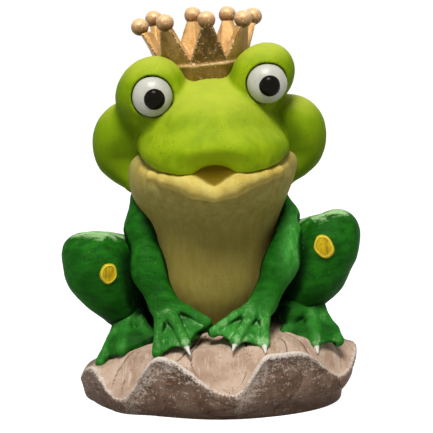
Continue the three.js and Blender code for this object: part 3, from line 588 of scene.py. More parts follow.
HEAD_Z = SEAT_HEIGHT + 75
MOUTH_Z = HEAD_Z - 11.6
MUZZLE_OFFSET = 1.4
hips = egg((0, 4, SEAT_HEIGHT + 20), (26.5, 25, 28))
chest = egg((0, 3, SEAT_HEIGHT + 44), (27, 23.5, 22))
throat = egg((-0.4, -2.1, MOUTH_Z - 6), (30.3, 26.9, 17))
jaw = egg((MUZZLE_OFFSET, -12.5, MOUTH_Z - 3.4), (28.5, 23.5, 12))
mouth_recess = egg((MUZZLE_OFFSET, -38, MOUTH_Z + 1.2), (10.5, 6, 6.5))
# The lower lip, from its thick middle until it fades into the jaw: across, out, up, radius
LIP = [
    (0, -35.8, -7, 3), (6.5, -35, -4.8, 3.5), (10, -33.6, -3.2, 3),
    (14.4, -32.4, -2.1, 2.3), (18.8, -30.2, -1.4, 1.9), (23.6, -25.4, -0.5, 1.6),
    (26.2, -18.8, 0.5, 1.2), (28, -11, 2.2, 0.9),
]
lip_roll = paired(MUZZLE_OFFSET, chain(2, *[(x, y, MOUTH_Z + z, r) for x, y, z, r in LIP]))
mouth_corner = paired(MUZZLE_OFFSET, roll((18, -18, MOUTH_Z - 3, 6), (27.6, -8.5, MOUTH_Z + 0.8, 3.6)))
trunk = melt(8, melt(10, hips, chest, throat), melt(5, jaw, mouth_corner))
body_clay = slanted(BODY_SLANT / 2, melt(1.2, within(1, trunk, carved(mouth_recess)), lip_roll))
SEAM_SHOULDER = (1, SEAT_HEIGHT + 52.5)
SEAM_WRIST = (-12.2, SEAT_HEIGHT + 14)
seam_run = (SEAM_SHOULDER[0] - SEAM_WRIST[0]) / (SEAM_SHOULDER[1] - SEAM_WRIST[1])


def behind_seam(x, y, z):
    """Everything behind the seam between the two castings."""
    return (SEAM_SHOULDER[0] + seam_run * (z - SEAM_SHOULDER[1]) - y) / math.hypot(1, seam_run)


# Paint laid on by hand: strokes of a deep and a middle tone, a pale dry brush, and painted shade in the
# creases
brushed_coat, ends_in, ends_out = new_effect(
    "brushed_coat",
    {
        "Deep": "Color", "Middle": "Color", "Pale": "Color", "Shade": "Color",
        "Crease shade": "Float", "Dry brush": "Float", "Stroke size": "Vector",
    },
    {"Color": "Color", "Roughness": "Float", "Height": "Float"},
)
tree = brushed_coat
at = on_object(tree)
stroke = strokes(tree, at, ends_in["Stroke size"])
mottle = grain(tree, at, 95, 4)
fine = grain(tree, at, 1100)
tone = worked(tree, "MULTIPLY_ADD", stroke, 1.5, mottle)
coat = mixed(tree, ranged(tree, tone, 0.9, 1.6), ends_in["Deep"], ends_in["Middle"])
streaky = worked(tree, "MULTIPLY_ADD", stroke, 1.4, ends_in["Dry brush"])
dry = worked(tree, "MULTIPLY_ADD", fine, 0.6, streaky)
coat = mixed(tree, ranged(tree, dry, 1.3, 1.85), coat, ends_in["Pale"])
# Painted shade: the Shade tone is laid into the creases
coat = mixed(tree, ends_in["Crease shade"], coat, ends_in["Shade"])
pits = effect(tree, pitted_casting, {"Scale": 950})
coat = mixed(tree, worked(tree, "MULTIPLY", pits["Pits"], 0.6), coat, ends_in["Shade"])
coat = mixed(tree, worked(tree, "MULTIPLY", pits["Grains"], 0.18), coat, ends_in["Pale"])
feed(tree, ends_out["Color"], coat)
feed(tree, ends_out["Roughness"], ranged(tree, mottle, 0.3, 0.7, 0.56, 0.74))
ripple = worked(tree, "MULTIPLY_ADD", fine, 0.7, stroke)
feed(tree, ends_out["Height"], worked(tree, "MULTIPLY_ADD", pits["Pits"], -1.2, ripple))
PAINT_RIPPLE = 0.1 * MM


def brushed(tree, tones, shade_in_creases, dry, stroke_size):
    """The brushed coat in four tones. Shade in creases: how hollow they start, where it is full, how dark.
    """
    low, high, most = shade_in_creases
    sockets = dict(zip(("Deep", "Middle", "Pale", "Shade"), map(colour, tones)))
    sockets["Crease shade"] = worked(tree, "MULTIPLY", ranged(tree, mask(tree, "hollow"), low, high), most)
    sockets["Dry brush"] = dry
    sockets["Stroke size"] = stroke_size
    return effect(tree, brushed_coat, sockets)


EMERALD = ("#11490a", "#206b15", "#9cc486", "#021602")
SECOND_EMERALD = ("#2a7a23", "#45963a", "#8cc07a", "#04200a")
emerald_paint, tree = new_paint("emerald_paint")
coat = brushed(tree, EMERALD, (0.22, 0.8, 0.92), mask(tree, "dry"), (130, 330, 330))
second_coat = brushed(tree, SECOND_EMERALD, (0.25, 0.8, 0.9), mask(tree, "dry"), (480, 240, 190))
base = mixed(tree, mask(tree, "fresh"), coat["Color"], second_coat["Color"])
base = mixed(tree, ranged(tree, mask(tree, "claw"), 0.25, 0.75), base, colour("#dfe2d2"))
finish_paint(tree, base, coat["Roughness"], coat["Height"], PAINT_RIPPLE, Specular_IOR_Level=0.06)

body_back, points, facing = sculpt(
    "body_back", within(0.3, body_clay, behind_seam), 0.9, "torso_back", "green_paint")
mark(
    body_back,
    # Painted shade in the creases of the back
    hollow=hollow(body_clay, points, facing, 4),
    dry=0.3 * rising(facing[:, 2], 0.4, 0.9),
    fresh=np.zeros(len(points)),
    claw=np.zeros(len(points)),
)
body_back.data.materials.append(emerald_paint)

CREAM = ("#9a8c46", "#b0a35c", "#cfc48a", "#4d3e0c")
LIP_YELLOW = ("#c2a850", "#d3bf68", "#eadc94", "#7a6020")
cream_paint, tree = new_paint("cream_paint")
coat = brushed(tree, CREAM, (0.22, 0.8, 0.8), 0.05, (420, 420, 110))
lip_coat = brushed(tree, LIP_YELLOW, (0.22, 0.8, 0.8), 0.15, (260, 260, 260))
base = glazed(tree, coat["Color"], mask(tree, "belly"), 0.55, "#83742c")
base = mixed(tree, mask(tree, "lip"), base, lip_coat["Color"])
base = mixed(tree, mask(tree, "recess"), base, colour("#76620a"))
finish_paint(tree, base, coat["Roughness"], coat["Height"], PAINT_RIPPLE, Specular_IOR_Level=0.06)

body_front, points, facing = sculpt(
    "body_front", within(0.3, body_clay, carved(behind_seam)), 0.7, "belly_front", "cream_paint")
on_lip = slanted(BODY_SLANT / 2, lip_roll)(*points.T)
in_recess = slanted(BODY_SLANT / 2, mouth_recess)(*points.T)
mark(
    body_front,
    lip=1 - rising(on_lip, 0.15, 1.2),
    recess=(1 - rising(in_recess, 0.4, 1.4)) * rising(on_lip, 0.25, 0.7),
    belly=1 - rising(points[:, 2], SEAT_HEIGHT + 30, SEAT_HEIGHT + 58),
    # Painted shade in the creases of the front, such as under the lip
    hollow=np.maximum(hollow(body_clay, points, facing, 5), hollow(body_clay, points, facing, 9)),
)
body_front.data.materials.append(cream_paint)

# The head
# One resin casting: skull, muzzle, cheeks and eye bulges melted together, with sockets for the eyes
# and a seat for the crown. It is painted satin lime, with painted shade in the creases and on the sides
# and lower flanks, a painted highlight on the bulges and tops, and painted bounced light under the beak.
FACE_SLANT = 0.035
BROW_SLANT = 0.147
EYE_SLANT = 0.115
CROWN_SLANT = 0.09
HEAD_OFFSET = -1.2
HEAD_SETBACK = 4
MUZZLE_HALF = 28.2
SMILE_RISE = 5.5
skull = melt(
    9,
    egg((HEAD_OFFSET, HEAD_SETBACK, HEAD_Z), (28, 26, 21.5)),
    egg((MUZZLE_OFFSET, HEAD_SETBACK - 18, HEAD_Z - 4.5), (MUZZLE_HALF, 25, 11.5)),
    egg((0, HEAD_SETBACK - 14.5, HEAD_Z + 4.5), (19.5, 19, 13.5)),
)
beak_hollow = egg((MUZZLE_OFFSET, HEAD_SETBACK - 48.6, MOUTH_Z + 0.6), (23, 10.5, 10.2))
beak_arch = egg((MUZZLE_OFFSET, HEAD_SETBACK - 41, MOUTH_Z - 0.5), (8.5, 8, 5))


def above_mouth(x, y, z):
    """Everything above the smile, which turns up at its corners."""
    return MOUTH_Z + SMILE_RISE * np.abs((x - MUZZLE_OFFSET) / MUZZLE_HALF) ** 5 - z


jowl = roll((31, 3, HEAD_Z - 9, 9), (27.5, -1, HEAD_Z - 18, 4.5))
cheek = melt(6, egg((30.6, 4, HEAD_Z - 2.5), (14.5, 14.5, 16)), jowl)
dimple = roll((28, -15, HEAD_Z + 4, 6), (30.5, -14, HEAD_Z - 9, 8))
cheeks = paired(HEAD_OFFSET + 0.6, within(8, cheek, carved(dimple)))
# The beak's full lower edge, from beside the arch to the corner of the mouth
BEAK_EDGE = [
    (6.5, -35.2, 2.6), (12.6, -32.8, 2.7), (17.6, -29, 3.1), (21.3, -24.2, 4.1), (23.7, -19, 5.2),
]
BEAK_EDGE_RADIUS = 3
beak_edge = paired(
    MUZZLE_OFFSET, chain(1, *[(x, y, MOUTH_Z + z, BEAK_EDGE_RADIUS) for x, y, z in BEAK_EDGE]))
muzzle = within(2, within(2.5, melt(3, skull, beak_edge), carved(beak_hollow)), above_mouth)
muzzle = within(0.9, muzzle, carved(beak_arch))
# Each eye bulge: its place across and its radius, the frog's left one first
BULGES = {1: (19.4, 12.1), -1: (-22.8, 13.1)}
BULGE_Y = -7
BULGE_Z = HEAD_Z + 19.9


def bulge(side):
    """An eye bulge, which runs back and inwards into the skull."""
    across, radius = BULGES[side]
    root = (across - 2 * side, BULGE_Y + 5, BULGE_Z - 3, radius - 1)
    return roll((across, BULGE_Y, BULGE_Z, radius), root)


EYE_OFFSET = -0.4
EYE_RISE = 18.2
EYE_HALF = np.array([7.6, 5, 7.6])
EYE_STAND_OUT = 2.2
EYE_GAP = 0.4
EYE_SPREAD = 42.8


def eye_place(side):
    """The middle of an eye, which stands out a little from the front of its bulge."""
    across = EYE_OFFSET + side * EYE_SPREAD / 2
    forward = BULGE_Y - BULGES[side][1] - EYE_STAND_OUT + EYE_HALF[1]
    return np.array([across, forward, HEAD_Z + EYE_RISE + EYE_SLANT * across])


# The crown stands in a seat that follows its eight sides: apothems and heights from its foot up
CROWN_OFFSET = -2.8
CROWN_PLACE = np.array([CROWN_OFFSET, 7, HEAD_Z + 19.5 + CROWN_OFFSET * CROWN_SLANT])
CROWN_TURN = math.radians(10)
CROWN_OUTSIDE = [(13.8, 0), (16.6, 6.5), (17.3, 7.2), (17.3, 7.8), (16.9, 8.4), (22.5, 21.5)]
crown_lean = Quaternion((0, 1, 0), -math.atan(CROWN_SLANT)) @ Quaternion((0, 0, 1), CROWN_TURN)
crown_axes = np.array(crown_lean.to_matrix())
# Each point, from the front one round by the frog's left, was bent by hand: sideways, and up
CROWN_BENT = [
    (-0.4, 1.2), (-0.8, -0.3), (-0.3, -0.7), (-1.2, 0), (1.6, 0.7), (0.6, 1.1), (-0.8, -0.4), (0.3, 1.2),
]
CROWN_POINTS = len(CROWN_BENT)
BEAD_RISE = 23.54


def in_crown(form):
    """A form given by its place across the crown's sides, along a side, and above its foot."""
    turns = np.arange(CROWN_POINTS) * 360 / CROWN_POINTS
    lean, lift = np.array(CROWN_BENT).T

    # Straightens the bent points, and folds the eight sides onto one
    def clay(x, y, z):
        dx, dy, dz = x - CROWN_PLACE[0], y - CROWN_PLACE[1], z - CROWN_PLACE[2]
        u, v, height = (dx * a + dy * b + dz * c for a, b, c in crown_axes.T)
        turn = np.degrees(np.arctan2(u, -v))
        bent = np.clip(height / BEAD_RISE, 0, 1) ** 2
        u = np.abs(u - bent * np.interp(turn, turns, lean, period=360))
        v = np.abs(v)
        height = height - bent * np.interp(turn, turns, lift, period=360)
        out = np.maximum.reduce([u, v, (u + v) / math.sqrt(2)])
        along = np.sqrt(np.maximum(u * u + v * v - out * out, 0))
        return form(out, along, height)

    return clay


# The crown's faces lean, so they are nearer than a level line to them says, by this share
SLOPE = 0.93


def crown_outside(out, along, height):
    """Everything inside the crown's outer faces."""
    return (out - np.interp(height, *np.array(CROWN_OUTSIDE).T[::-1])) * SLOPE


CROWN_SINK = 0.4


def crown_hole(out, along, height):
    """The hole that the crown's foot sinks into, a little tighter than the foot."""
    return np.maximum(crown_outside(out, along, height) + CROWN_SINK, CROWN_SINK - height)


crown_seat = egg((CROWN_OFFSET, 5, HEAD_Z + 13.5), (19, 20, 8.5))
bulges = [slanted(BROW_SLANT, bulge(side)) for side in (1, -1)]
lobes = melt(6, slanted(FACE_SLANT, cheeks), *bulges)
brow = melt(4.5, slanted(FACE_SLANT, muzzle), slanted(CROWN_SLANT, crown_seat), *bulges)
whole_head = melt(1.2, brow, lobes)
sockets = [egg(eye_place(side), EYE_HALF + EYE_GAP) for side in (1, -1)]
head_clay = within(0.7, whole_head, carved(in_crown(crown_hole)), *[carved(socket) for socket in sockets])

LIME = ("#799609", "#93ab11", "#c8d048", "#34440a")
# Painted light and shade over the lime, in order: where each lies, how much of it there is and its colour
# Shade is painted on the sides and lower flanks, a highlight on the tops, and bounced light under the beak
PAINTED_LIGHT_AND_SHADE = [
    ("side", 0.7, "#6d8d0a"), ("low", 0.5, "#48630a"), ("top", 0.62, "#c2c948"), ("under", 0.5, "#b4d01a"),
]
lime_paint, tree = new_paint("lime_paint")
coat = brushed(tree, LIME, (0.24, 0.85, 0.66), 0.02, (170, 170, 110))
base = coat["Color"]
for covering, amount, code in PAINTED_LIGHT_AND_SHADE:
    base = glazed(tree, base, mask(tree, covering), amount, code)
finish_paint(tree, base, coat["Roughness"], coat["Height"], PAINT_RIPPLE, Specular_IOR_Level=0.05)

head, points, facing = sculpt("head_casting", head_clay, 0.75, "head", "lime_paint")
# Shade is painted into the creases, most of all between muzzle and cheek beside the mouth, and fades out on
# the front of the beak
across, back, up = points.T
upward = facing[:, 2]
crease_shade = hollow(head_clay, points, facing, 4.5) * (1 - 0.7 * rising(-back, 24, 30))
beside_mouth = (np.abs(across - MUZZLE_OFFSET) - 30.5) / 5
below_eye = (up - EYE_SLANT * across - HEAD_Z + 3) / 7
corner = np.exp(-(beside_mouth**2) - below_eye**2) * rising(-back, -2, 6)
flank = rising(np.abs(across - HEAD_OFFSET), 24, 34)
mark(
    head,
    hollow=np.maximum(crease_shade, 0.7 * corner),
    # Painted shade on the lower flanks and sides, a painted highlight on the tops, painted bounced light
    # under the beak
    low=flank * rising(-upward, -0.2, 0.6),
    top=rising(upward, 0.3, 1) * rising(up, HEAD_Z - 6, HEAD_Z + 14),
    under=rising(-upward, 0.1, 0.6) * rising(-back, 22, 30),
    side=flank * (1 - 0.7 * rising(upward, 0.2, 0.9)),
)
head.data.materials.append(lime_paint)

# The eyes
# Domed whites set into the sockets of the bulges, and domed black pupils set into the whites.
# Both are dipped in enamel, the pupils in full gloss.
BALL_AROUND = 56
BALL_ROWS = 28
BALL_END = 0.04
BALL_UNEVEN = 0.012


def ball(name, middle, half, node, slot, seed):
    """A round form, a little uneven as a dipped bead is."""
    fall = np.linspace(BALL_END, np.pi - BALL_END, BALL_ROWS)[:, None]
    turn = np.linspace(0, 2 * np.pi, BALL_AROUND, endpoint=False)[None, :]
    rings = np.stack([
        np.sin(fall) * np.sin(turn), -np.sin(fall) * np.cos(turn), -np.cos(fall) * np.ones_like(turn),
    ], axis=-1)
    rings *= (1 + BALL_UNEVEN * (lumps(rings, 1.1, seed) - 0.8))[..., None]
    return make_piece(name, *closed_rings(rings * half + middle), node, slot)


PUPIL_HALF = np.array([4.1, 2.5, 4.1])
PUPIL_SHIFT = np.array([0.8, -3.7, -0.5])
white_enamel, tree = new_paint("white_enamel")
at = on_object(tree)
brush = grain(tree, at, 260, 4)
base = mixed(tree, ranged(tree, grain(tree, at, 90), 0.4, 0.75), colour("#bfbeb0"), colour("#a8a695"))
finish_paint(tree, base, ranged(tree, brush, 0.3, 0.7, 0.25, 0.45), brush, 0.15 * MM)
black_enamel, tree = new_paint("black_enamel")
brush = grain(tree, on_object(tree), 300)
base = mixed(tree, brush, colour("#0b0904"), colour("#15110a"))
rough = ranged(tree, brush, 0.3, 0.7, 0.15, 0.25)
finish_paint(tree, base, rough, brush, 0.05 * MM, Specular_IOR_Level=0.06)
for side, name in ((1, "left"), (-1, "right")):
    place = eye_place(side)
    white = ball(f"{name}_eye", place, EYE_HALF, f"{name}_eye_white", "eye_white", seed=21 + side)
    white.data.materials.append(white_enamel)
    place = place + PUPIL_SHIFT
    pupil = ball(f"{name}_eye_pupil", place, PUPIL_HALF, f"{name}_pupil", "pupil_black", seed=31 + side)
    pupil.data.materials.append(black_enamel)

# The legs
# Resin castings glued to the body: forelegs that end in webbed hands, folded hind legs, and webbed
# feet glued under them. They are painted emerald and dry-brushed pale on knees, toes and claws.


def web(a, b, c, thick):
    """A thin sheet of clay stretched between three places."""
    corners = [np.array(corner, float) for corner in (a, b, c)]
    sides = [corners[(k + 1) % 3] - corners[k] for k in range(3)]
    normal = np.cross(sides[0], sides[1])
    fences = [np.cross(normal, side) for side in sides]

    def clay(x, y, z):
        away = [np.stack([x - p[0], y - p[1], z - p[2]], axis=-1) for p in corners]
        over = np.logical_and.reduce([d @ fence > 0 for d, fence in zip(away, fences)])
        edges = []
        for d, side in zip(away, sides):
            t = np.clip(d @ side / (side @ side), 0, 1)
            edges.append(((d - t[..., None] * side) ** 2).sum(axis=-1))
        flat = (away[0] @ normal) ** 2 / (normal @ normal)
        return np.sqrt(np.where(over, flat, np.minimum.reduce(edges))) - thick

    return clay


def past(root, tip, far):
    """The place past the tip on the line from the root."""
    root, tip = np.array(root, float), np.array(tip, float)
    return tip + (tip - root) / np.linalg.norm(tip - root) * far


def on_side(side, middle, clay):
    """A clay of the frog's left side, turned over for its right side."""
    return lambda x, y, z: clay(side * (x - middle), y, z)


# A knuckle: its shares of the toe's root and tip, how far it stands up, and how much thinner it is
KNUCKLE_SHARES = (0.45, 0.55)
KNUCKLE_RISE = 1.2
KNUCKLE_THINNER = 0.2


def toes(root, tips, root_radius, tip_radius):
    """Toes that fan out from a root, each bent a little at its knuckle."""
    rolls = []
    for tip in tips:
        knuckle = np.array(root) * KNUCKLE_SHARES[0] + np.array(tip) * KNUCKLE_SHARES[1]
        knuckle += [0, 0, KNUCKLE_RISE]
        knuckle_radius = tip_radius - KNUCKLE_THINNER
        rolls.append(chain(1.5, (*root, root_radius), (*knuckle, knuckle_radius), (*tip, tip_radius)))
    return melt(1.5, *rolls)


WEB_THICKNESS = 0.75
SCALLOP_FAR = 3.6
SCALLOP_HALF = (3.6, 3.6, 3.6)


def webbed(root, tips, fan):
    """A fan of toes with a thin scalloped web hung between them."""
    webs = [web(root, a, b, WEB_THICKNESS) for a, b in zip(tips, tips[1:])]
    between = [(np.array(a) + b) / 2 for a, b in zip(tips, tips[1:])]
    scallops = [carved(egg(past(root, middle, SCALLOP_FAR), SCALLOP_HALF)) for middle in between]
    return melt(0.7, fan, within(0.8, melt(1, *webs), *scallops))


# Where each claw was pressed on, and where it ends
CLAWS = {
    "left_foreleg": [((20, -32.8, 24.8), (20.4, -36.6, 22.4)), ((9.3, -35, 27), (8, -37.8, 24.4))],
    "right_foreleg": [((9.3, -35, 27.6), (7.6, -38.2, 24.4))],
    "left_hind_foot": [((36.9, -20.6, 20.6), (37.4, -24, 17.6))],
}
CLAW_RADII = (1.25, 0.4)


def claws(limb):
    """The claws of a limb, each rolled to a point."""
    thick, thin = CLAW_RADII
    return [roll((*start, thick), (*end, thin)) for start, end in CLAWS.get(limb, [])]


def seated(*stops):
    """Places with their radii, moved up from heights above the leaf's seat."""
    return [(x, y, SEAT_HEIGHT + z, radius) for x, y, z, radius in stops]


# Each arm from the shoulder to the wrist: the left one bows out more and reaches lower
ARMS = {
    "left": seated(
        (24.4, 1.5, 52.5, 3.4), (29.6, -1.5, 40.6, 3.2), (29.4, -11, 33.5, 4.5), (26.8, -15.5, 25.5, 6),
        (19.8, -20.5, 11.2, 5.4),
    ),
    "right": seated(
        (25.5, -2, 52.5, 5.5), (26.3, -7, 41.5, 5.7), (24.1, -14, 27.5, 5.8), (18, -20.2, 14, 5.4),
    ),
}
FINGERS = {
    "left": [(20, -32, 25), (9.3, -34.5, 27.5), (1, -29.5, 30.5)],
    "right": [(20, -32, 25), (9.3, -34.5, 28.3), (1.6, -28, 34)],
}
FINGER_RADII = (4.3, 2.2)
palm = egg((11, -26, 29.6), (8, 5.5, 2.4))


def fingers(name):
    """The fan of a hand, as on the left side."""
    return toes(ARMS[name][-1][:3], FINGERS[name], *FINGER_RADII)


def foreleg(name):
    """An arm with its webbed hand, palm and claws, as on the left side."""
    hand = webbed(ARMS[name][-1][:3], FINGERS[name], fingers(name))
    return melt(0.6, melt(2, chain(6, *ARMS[name]), hand, palm), *claws(f"{name}_foreleg"))


# The hip and thigh of both hind legs, then each one's knee, kneecap, shin, shank and ankle.
# The right leg is folded less: its knee is squarer and lies lower, and its shank lies higher.
HIP, THIGH = seated((26.5, 12, 11, 14), (36.2, -1, 25.5, 12))
HIND_LEGS = {
    "left": seated(
        (45.8, -8, 32.2, 9.6), (48.9, -8, 35.2, 6), (45.1, -8, 27.7, 10.3), (40.9, -6, 18.8, 9.6),
        (33.9, -5, 8.2, 7.6),
    ),
    "right": seated(
        (45.4, -8, 31.6, 9.6), (51.2, -8, 35.6, 5), (44.6, -8, 27.4, 10.2), (40.6, -6, 22, 9.6),
        (34.3, -5, 10.8, 7.6),
    ),
}


def hind_leg(name):
    """A folded leg from the hip over the knee to the ankle, as on the left side."""
    knee, kneecap, shin, shank, ankle = HIND_LEGS[name]
    return melt(6, chain(6, THIGH, knee, kneecap), chain(9, shin, shank, ankle), roll(THIGH, HIP))


# The right foot is raised on the leaf's wave, all but its outer toe. The left one has a rounder heel.
FOOT_ROOT = (34.5, -5, SEAT_HEIGHT + 8)
TOES = {
    "left": [(45.6, -16, 20.4), (36.9, -20, 21), (22.4, -17, 21.6)],
    "right": [(45, -16, 19.5), (36.9, -18.5, 24), (25.2, -15.5, 27)],
}
TOE_RADII = (6, 2.3)
heel = egg((28.4, -9.6, 32.4), (6, 5.4, 5))
insteps = {
    "left": melt(2, egg((35.4, -13, 24), (10, 5.6, 3.6)), heel),
    "right": egg((32.5, -13, 25.4), (10, 5.6, 4.6)),
}


def foot_toes(name):
    """The fan of a foot, as on the left side."""
    return toes(FOOT_ROOT, TOES[name], *TOE_RADII)


def hind_foot(name):
    """A webbed foot with its instep and claws, as on the left side."""
    foot = webbed(FOOT_ROOT, TOES[name], foot_toes(name))
    return melt(0.6, melt(3, foot, insteps[name]), *claws(f"{name}_hind_foot"))


SIDES = {"left": 1, "right": -1}
castings, ridges = {}, {}
for name, side in SIDES.items():
    castings[name, "foreleg"] = slanted(BODY_SLANT, on_side(side, 0, foreleg(name)))
    castings[name, "hind_foot"] = slanted(BODY_SLANT, on_side(side, LEAF_OFFSET, hind_foot(name)))
    castings[name, "hind_leg"] = slanted(BODY_SLANT, on_side(side, 0, hind_leg(name)))
    ridges[name, "foreleg"] = slanted(BODY_SLANT, on_side(side, 0, fingers(name)))
    ridges[name, "hind_foot"] = slanted(BODY_SLANT, on_side(side, LEAF_OFFSET, foot_toes(name)))


def figure(x, y, z):
    """The body and all limbs together, for the shade that each casts on the others."""
    return np.minimum.reduce([clay(x, y, z) for clay in (body_clay, *castings.values())])


# Each limb: the size of its mesh cells, and how far off a neighbour still shades it
LIMBS = {"foreleg": (0.55, 6), "hind_foot": (0.55, 9), "hind_leg": (0.8, 9)}
LIMB_MARGIN = 2.5
# How pale the dry brush left each place, and how dark shade is painted below the thighs and in the webs
DRY = {"edge": 0.3, "knee": 0.78, "ridge": 0.26, "claw": 0.42, "left hand": 0.12, "shoulder": 0.2}
THIGH_UNDERSIDE_SHADE = 0.52
WEB_SHADE = 0.5
for (name, limb), casting in castings.items():
    node = f"{name}_{limb}"
    cell, reach = LIMBS[limb]
    piece, points, facing = sculpt(
        f"{node}_casting", casting, cell, node, "green_paint", margin=LIMB_MARGIN)
    level = points[:, 2] - BODY_SLANT * points[:, 0]
    upward = facing[:, 2]
    # Painted shade: in the limb's own creases, where a neighbour stands close, under the thigh and in the
    # webs
    neighbour_shade = hollow(figure, points, facing, reach) * (1 - 0.85 * rising(upward, 0.35, 0.8))
    limb_shade = np.maximum(hollow(casting, points, facing, 3.5), neighbour_shade)
    dry = DRY["edge"] * rising(crest(casting, points, facing, 1.6), 0.3, 0.8)
    fresh = nails = np.zeros(len(points))
    if limb == "hind_leg":
        dry += DRY["knee"] * rising(upward, 0.6, 1.0)
        underside = (1 - rising(level, SEAT_HEIGHT + 8, SEAT_HEIGHT + 27)) * (1 - rising(upward, 0, 0.5))
        limb_shade = np.maximum(limb_shade, THIGH_UNDERSIDE_SHADE * underside)
    else:
        off_ridge = ridges[name, limb](*points.T)
        ridge = 1 - rising(off_ridge, 0.1, 0.9)
        dry += DRY["ridge"] * ridge * rising(upward - facing[:, 1], 0.7, 1.25)
        middle = LEAF_OFFSET if limb == "hind_foot" else 0
        for claw in claws(node):
            on_claw = slanted(BODY_SLANT, on_side(SIDES[name], middle, claw))(*points.T)
            nails = np.maximum(nails, 1 - rising(on_claw, 0.0, 0.4))
            dry += DRY["claw"] * (1 - rising(on_claw, 0.4, 2.6))
        if limb == "foreleg":
            on_hand = 1 - rising(level, SEAT_HEIGHT + 5, SEAT_HEIGHT + 18)
            on_shoulder = rising(points[:, 0], 23, 31)
            fresh = np.maximum((0.75 + 0.2 * SIDES[name]) * on_hand, on_shoulder)
            dry += DRY["left hand"] * on_hand * (name == "left") + DRY["shoulder"] * on_shoulder
        else:
            fresh = 0.2 + 0.4 * ridge
            on_web = rising(off_ridge, 0.3, 1.3) * rising(upward, 0.1, 0.5)
            limb_shade = np.maximum(limb_shade, WEB_SHADE * on_web)
    mark(piece, hollow=limb_shade, dry=dry, fresh=fresh, claw=nails)
    piece.data.materials.append(emerald_paint)

# The thigh spots
# A thick dab of yellow paint on each thigh, laid on with a loaded brush when the green was dry.
# The brush was drawn round once, so the rim stands up.
SPOT_RISE = 1.0
SPOT_RIM = 0.84
SPOT_RIM_HALF = 0.1
SPOT_SINK = -0.8
SPOT_AROUND = 56
# Each spot: its distance in from the knee and its drop below it, half its width and height,
# how much wider it is below, and how far its top leans
SPOTS = {"left": (3.3, 1.2, 4.1, 4.7, 0.16, -0.2), "right": (6.8, 4.6, 3.5, 4.05, 0.03, 0.05)}
spot_paint, tree = new_paint("spot_paint")
stroke = strokes(tree, on_object(tree), (900, 900, 350))
base = mixed(tree, ranged(tree, stroke, 0.42, 0.72), colour("#cfae0e"), colour("#987c0a"))
base = mixed(tree, ranged(tree, mask(tree, "edge"), 0.3, 0.9), base, colour("#e6cf42"))
rough = ranged(tree, stroke, 0.3, 0.7, 0.4, 0.6)
finish_paint(tree, base, rough, stroke, 0.3 * MM, Specular_IOR_Level=0.2)
spot_turn = np.linspace(0, 2 * np.pi, SPOT_AROUND, endpoint=False)
# Rings of a spot, by their share of its size: two sunk in the thigh, then from its edge to its middle
spot_far = np.concatenate([[0.05, 0.96], np.linspace(1, 0.03, 24)])
spot_rim = np.exp(-(((spot_far - SPOT_RIM) / SPOT_RIM_HALF) ** 2))
spot_lift = SPOT_RISE * (0.6 + 0.4 * spot_rim) * np.sqrt(1 - spot_far**6)
spot_lift[:2] = SPOT_SINK
# The brush comes from in front of the leg, a part of the way at a time, and stops where it meets it.
# The dab is then pressed onto the leg's round in a few passes.
BRUSH_START = -45.0
BRUSH_STEPS = 60
BRUSH_STEP = 0.6
SPOT_PASSES = 4
for name, (inset, drop, half_width, half_height, spread, lean) in SPOTS.items():
    leg = castings[name, "hind_leg"]
    knee = HIND_LEGS[name][0]
    across = SIDES[name] * (knee[0] - inset)
    place = np.array([[across, BRUSH_START, knee[2] - drop + BODY_SLANT * across]])
    for _ in range(BRUSH_STEPS):
        place[:, 1] += leg(*place.T) * BRUSH_STEP
    out = Vector(uphill(leg, place)[0])
    upright = np.array(out.to_track_quat("Z", "Y").to_matrix())
    wobble = 1 + 0.02 * np.sin(3 * spot_turn + 1) + 0.03 * np.sin(5 * spot_turn + 2)
    aside = np.sin(spot_turn) * (1 + spread * np.cos(spot_turn)) * half_width
    rings = np.stack([
        spot_far[:, None] * wobble * (aside + lean * np.cos(spot_turn) * -half_height),
        -spot_far[:, None] * wobble * np.cos(spot_turn) * half_height,
        spot_lift[:, None] * np.ones(SPOT_AROUND),
    ], axis=-1) @ upright.T + place
    points = rings.reshape(-1, 3)
    lift = np.repeat(spot_lift, SPOT_AROUND)
    for _ in range(SPOT_PASSES):
        points = points - uphill(leg, points) * (leg(*points.T) - lift)[:, None]
    rings = points.reshape(rings.shape)
    spot = make_piece(f"{name}_spot", *closed_rings(rings), f"{name}_thigh_spot", "spot_yellow")
    mark(spot, edge=over_rings(spot_rim[:, None] * np.ones(SPOT_AROUND)))
    spot.data.materials.append(spot_paint)

# The crown
# One casting, an eight-sided cup with a notch cut at each corner, sunk in its seat on the head.
# It is painted copper gold with painted shade on its forward faces, and the gold is rubbed bright on the
# edges.
CROWN_HEIGHT = 21.5
CROWN_FLOOR = 4
CROWN_INSIDE = [(11.2, CROWN_FLOOR), (14, 7.5), (19.9, CROWN_HEIGHT)]
# Half a point's width at its tip, how fast it widens downwards, and the height where the notches end
TIP_HALF = 2.4
NOTCH_RUN = 0.385
NOTCH_FOOT = 10
TIP_RIDGE = 2.2
EDGE_ROUNDING = 0.7


def crown_form(out, along, height):
    """The cup with its notches, and with a ridge up the inside of each point."""
    tip_half = TIP_HALF + (CROWN_HEIGHT - height) * NOTCH_RUN
    ridge = TIP_RIDGE * np.clip(1 - along / tip_half, 0, 1) * rising(height, CROWN_FLOOR, NOTCH_FOOT)
    inside = (out + ridge - np.interp(height, *np.array(CROWN_INSIDE).T[::-1])) * SLOPE
    notch = (along - tip_half) * SLOPE
    cup = np.maximum(inside, CROWN_FLOOR - height)
    walls = [crown_outside(out, along, height), -cup, notch, height - CROWN_HEIGHT, -height]
    found = -walls[0]
    for wall in walls[1:]:
        found = soft_least(found, -wall, EDGE_ROUNDING)
    return -found


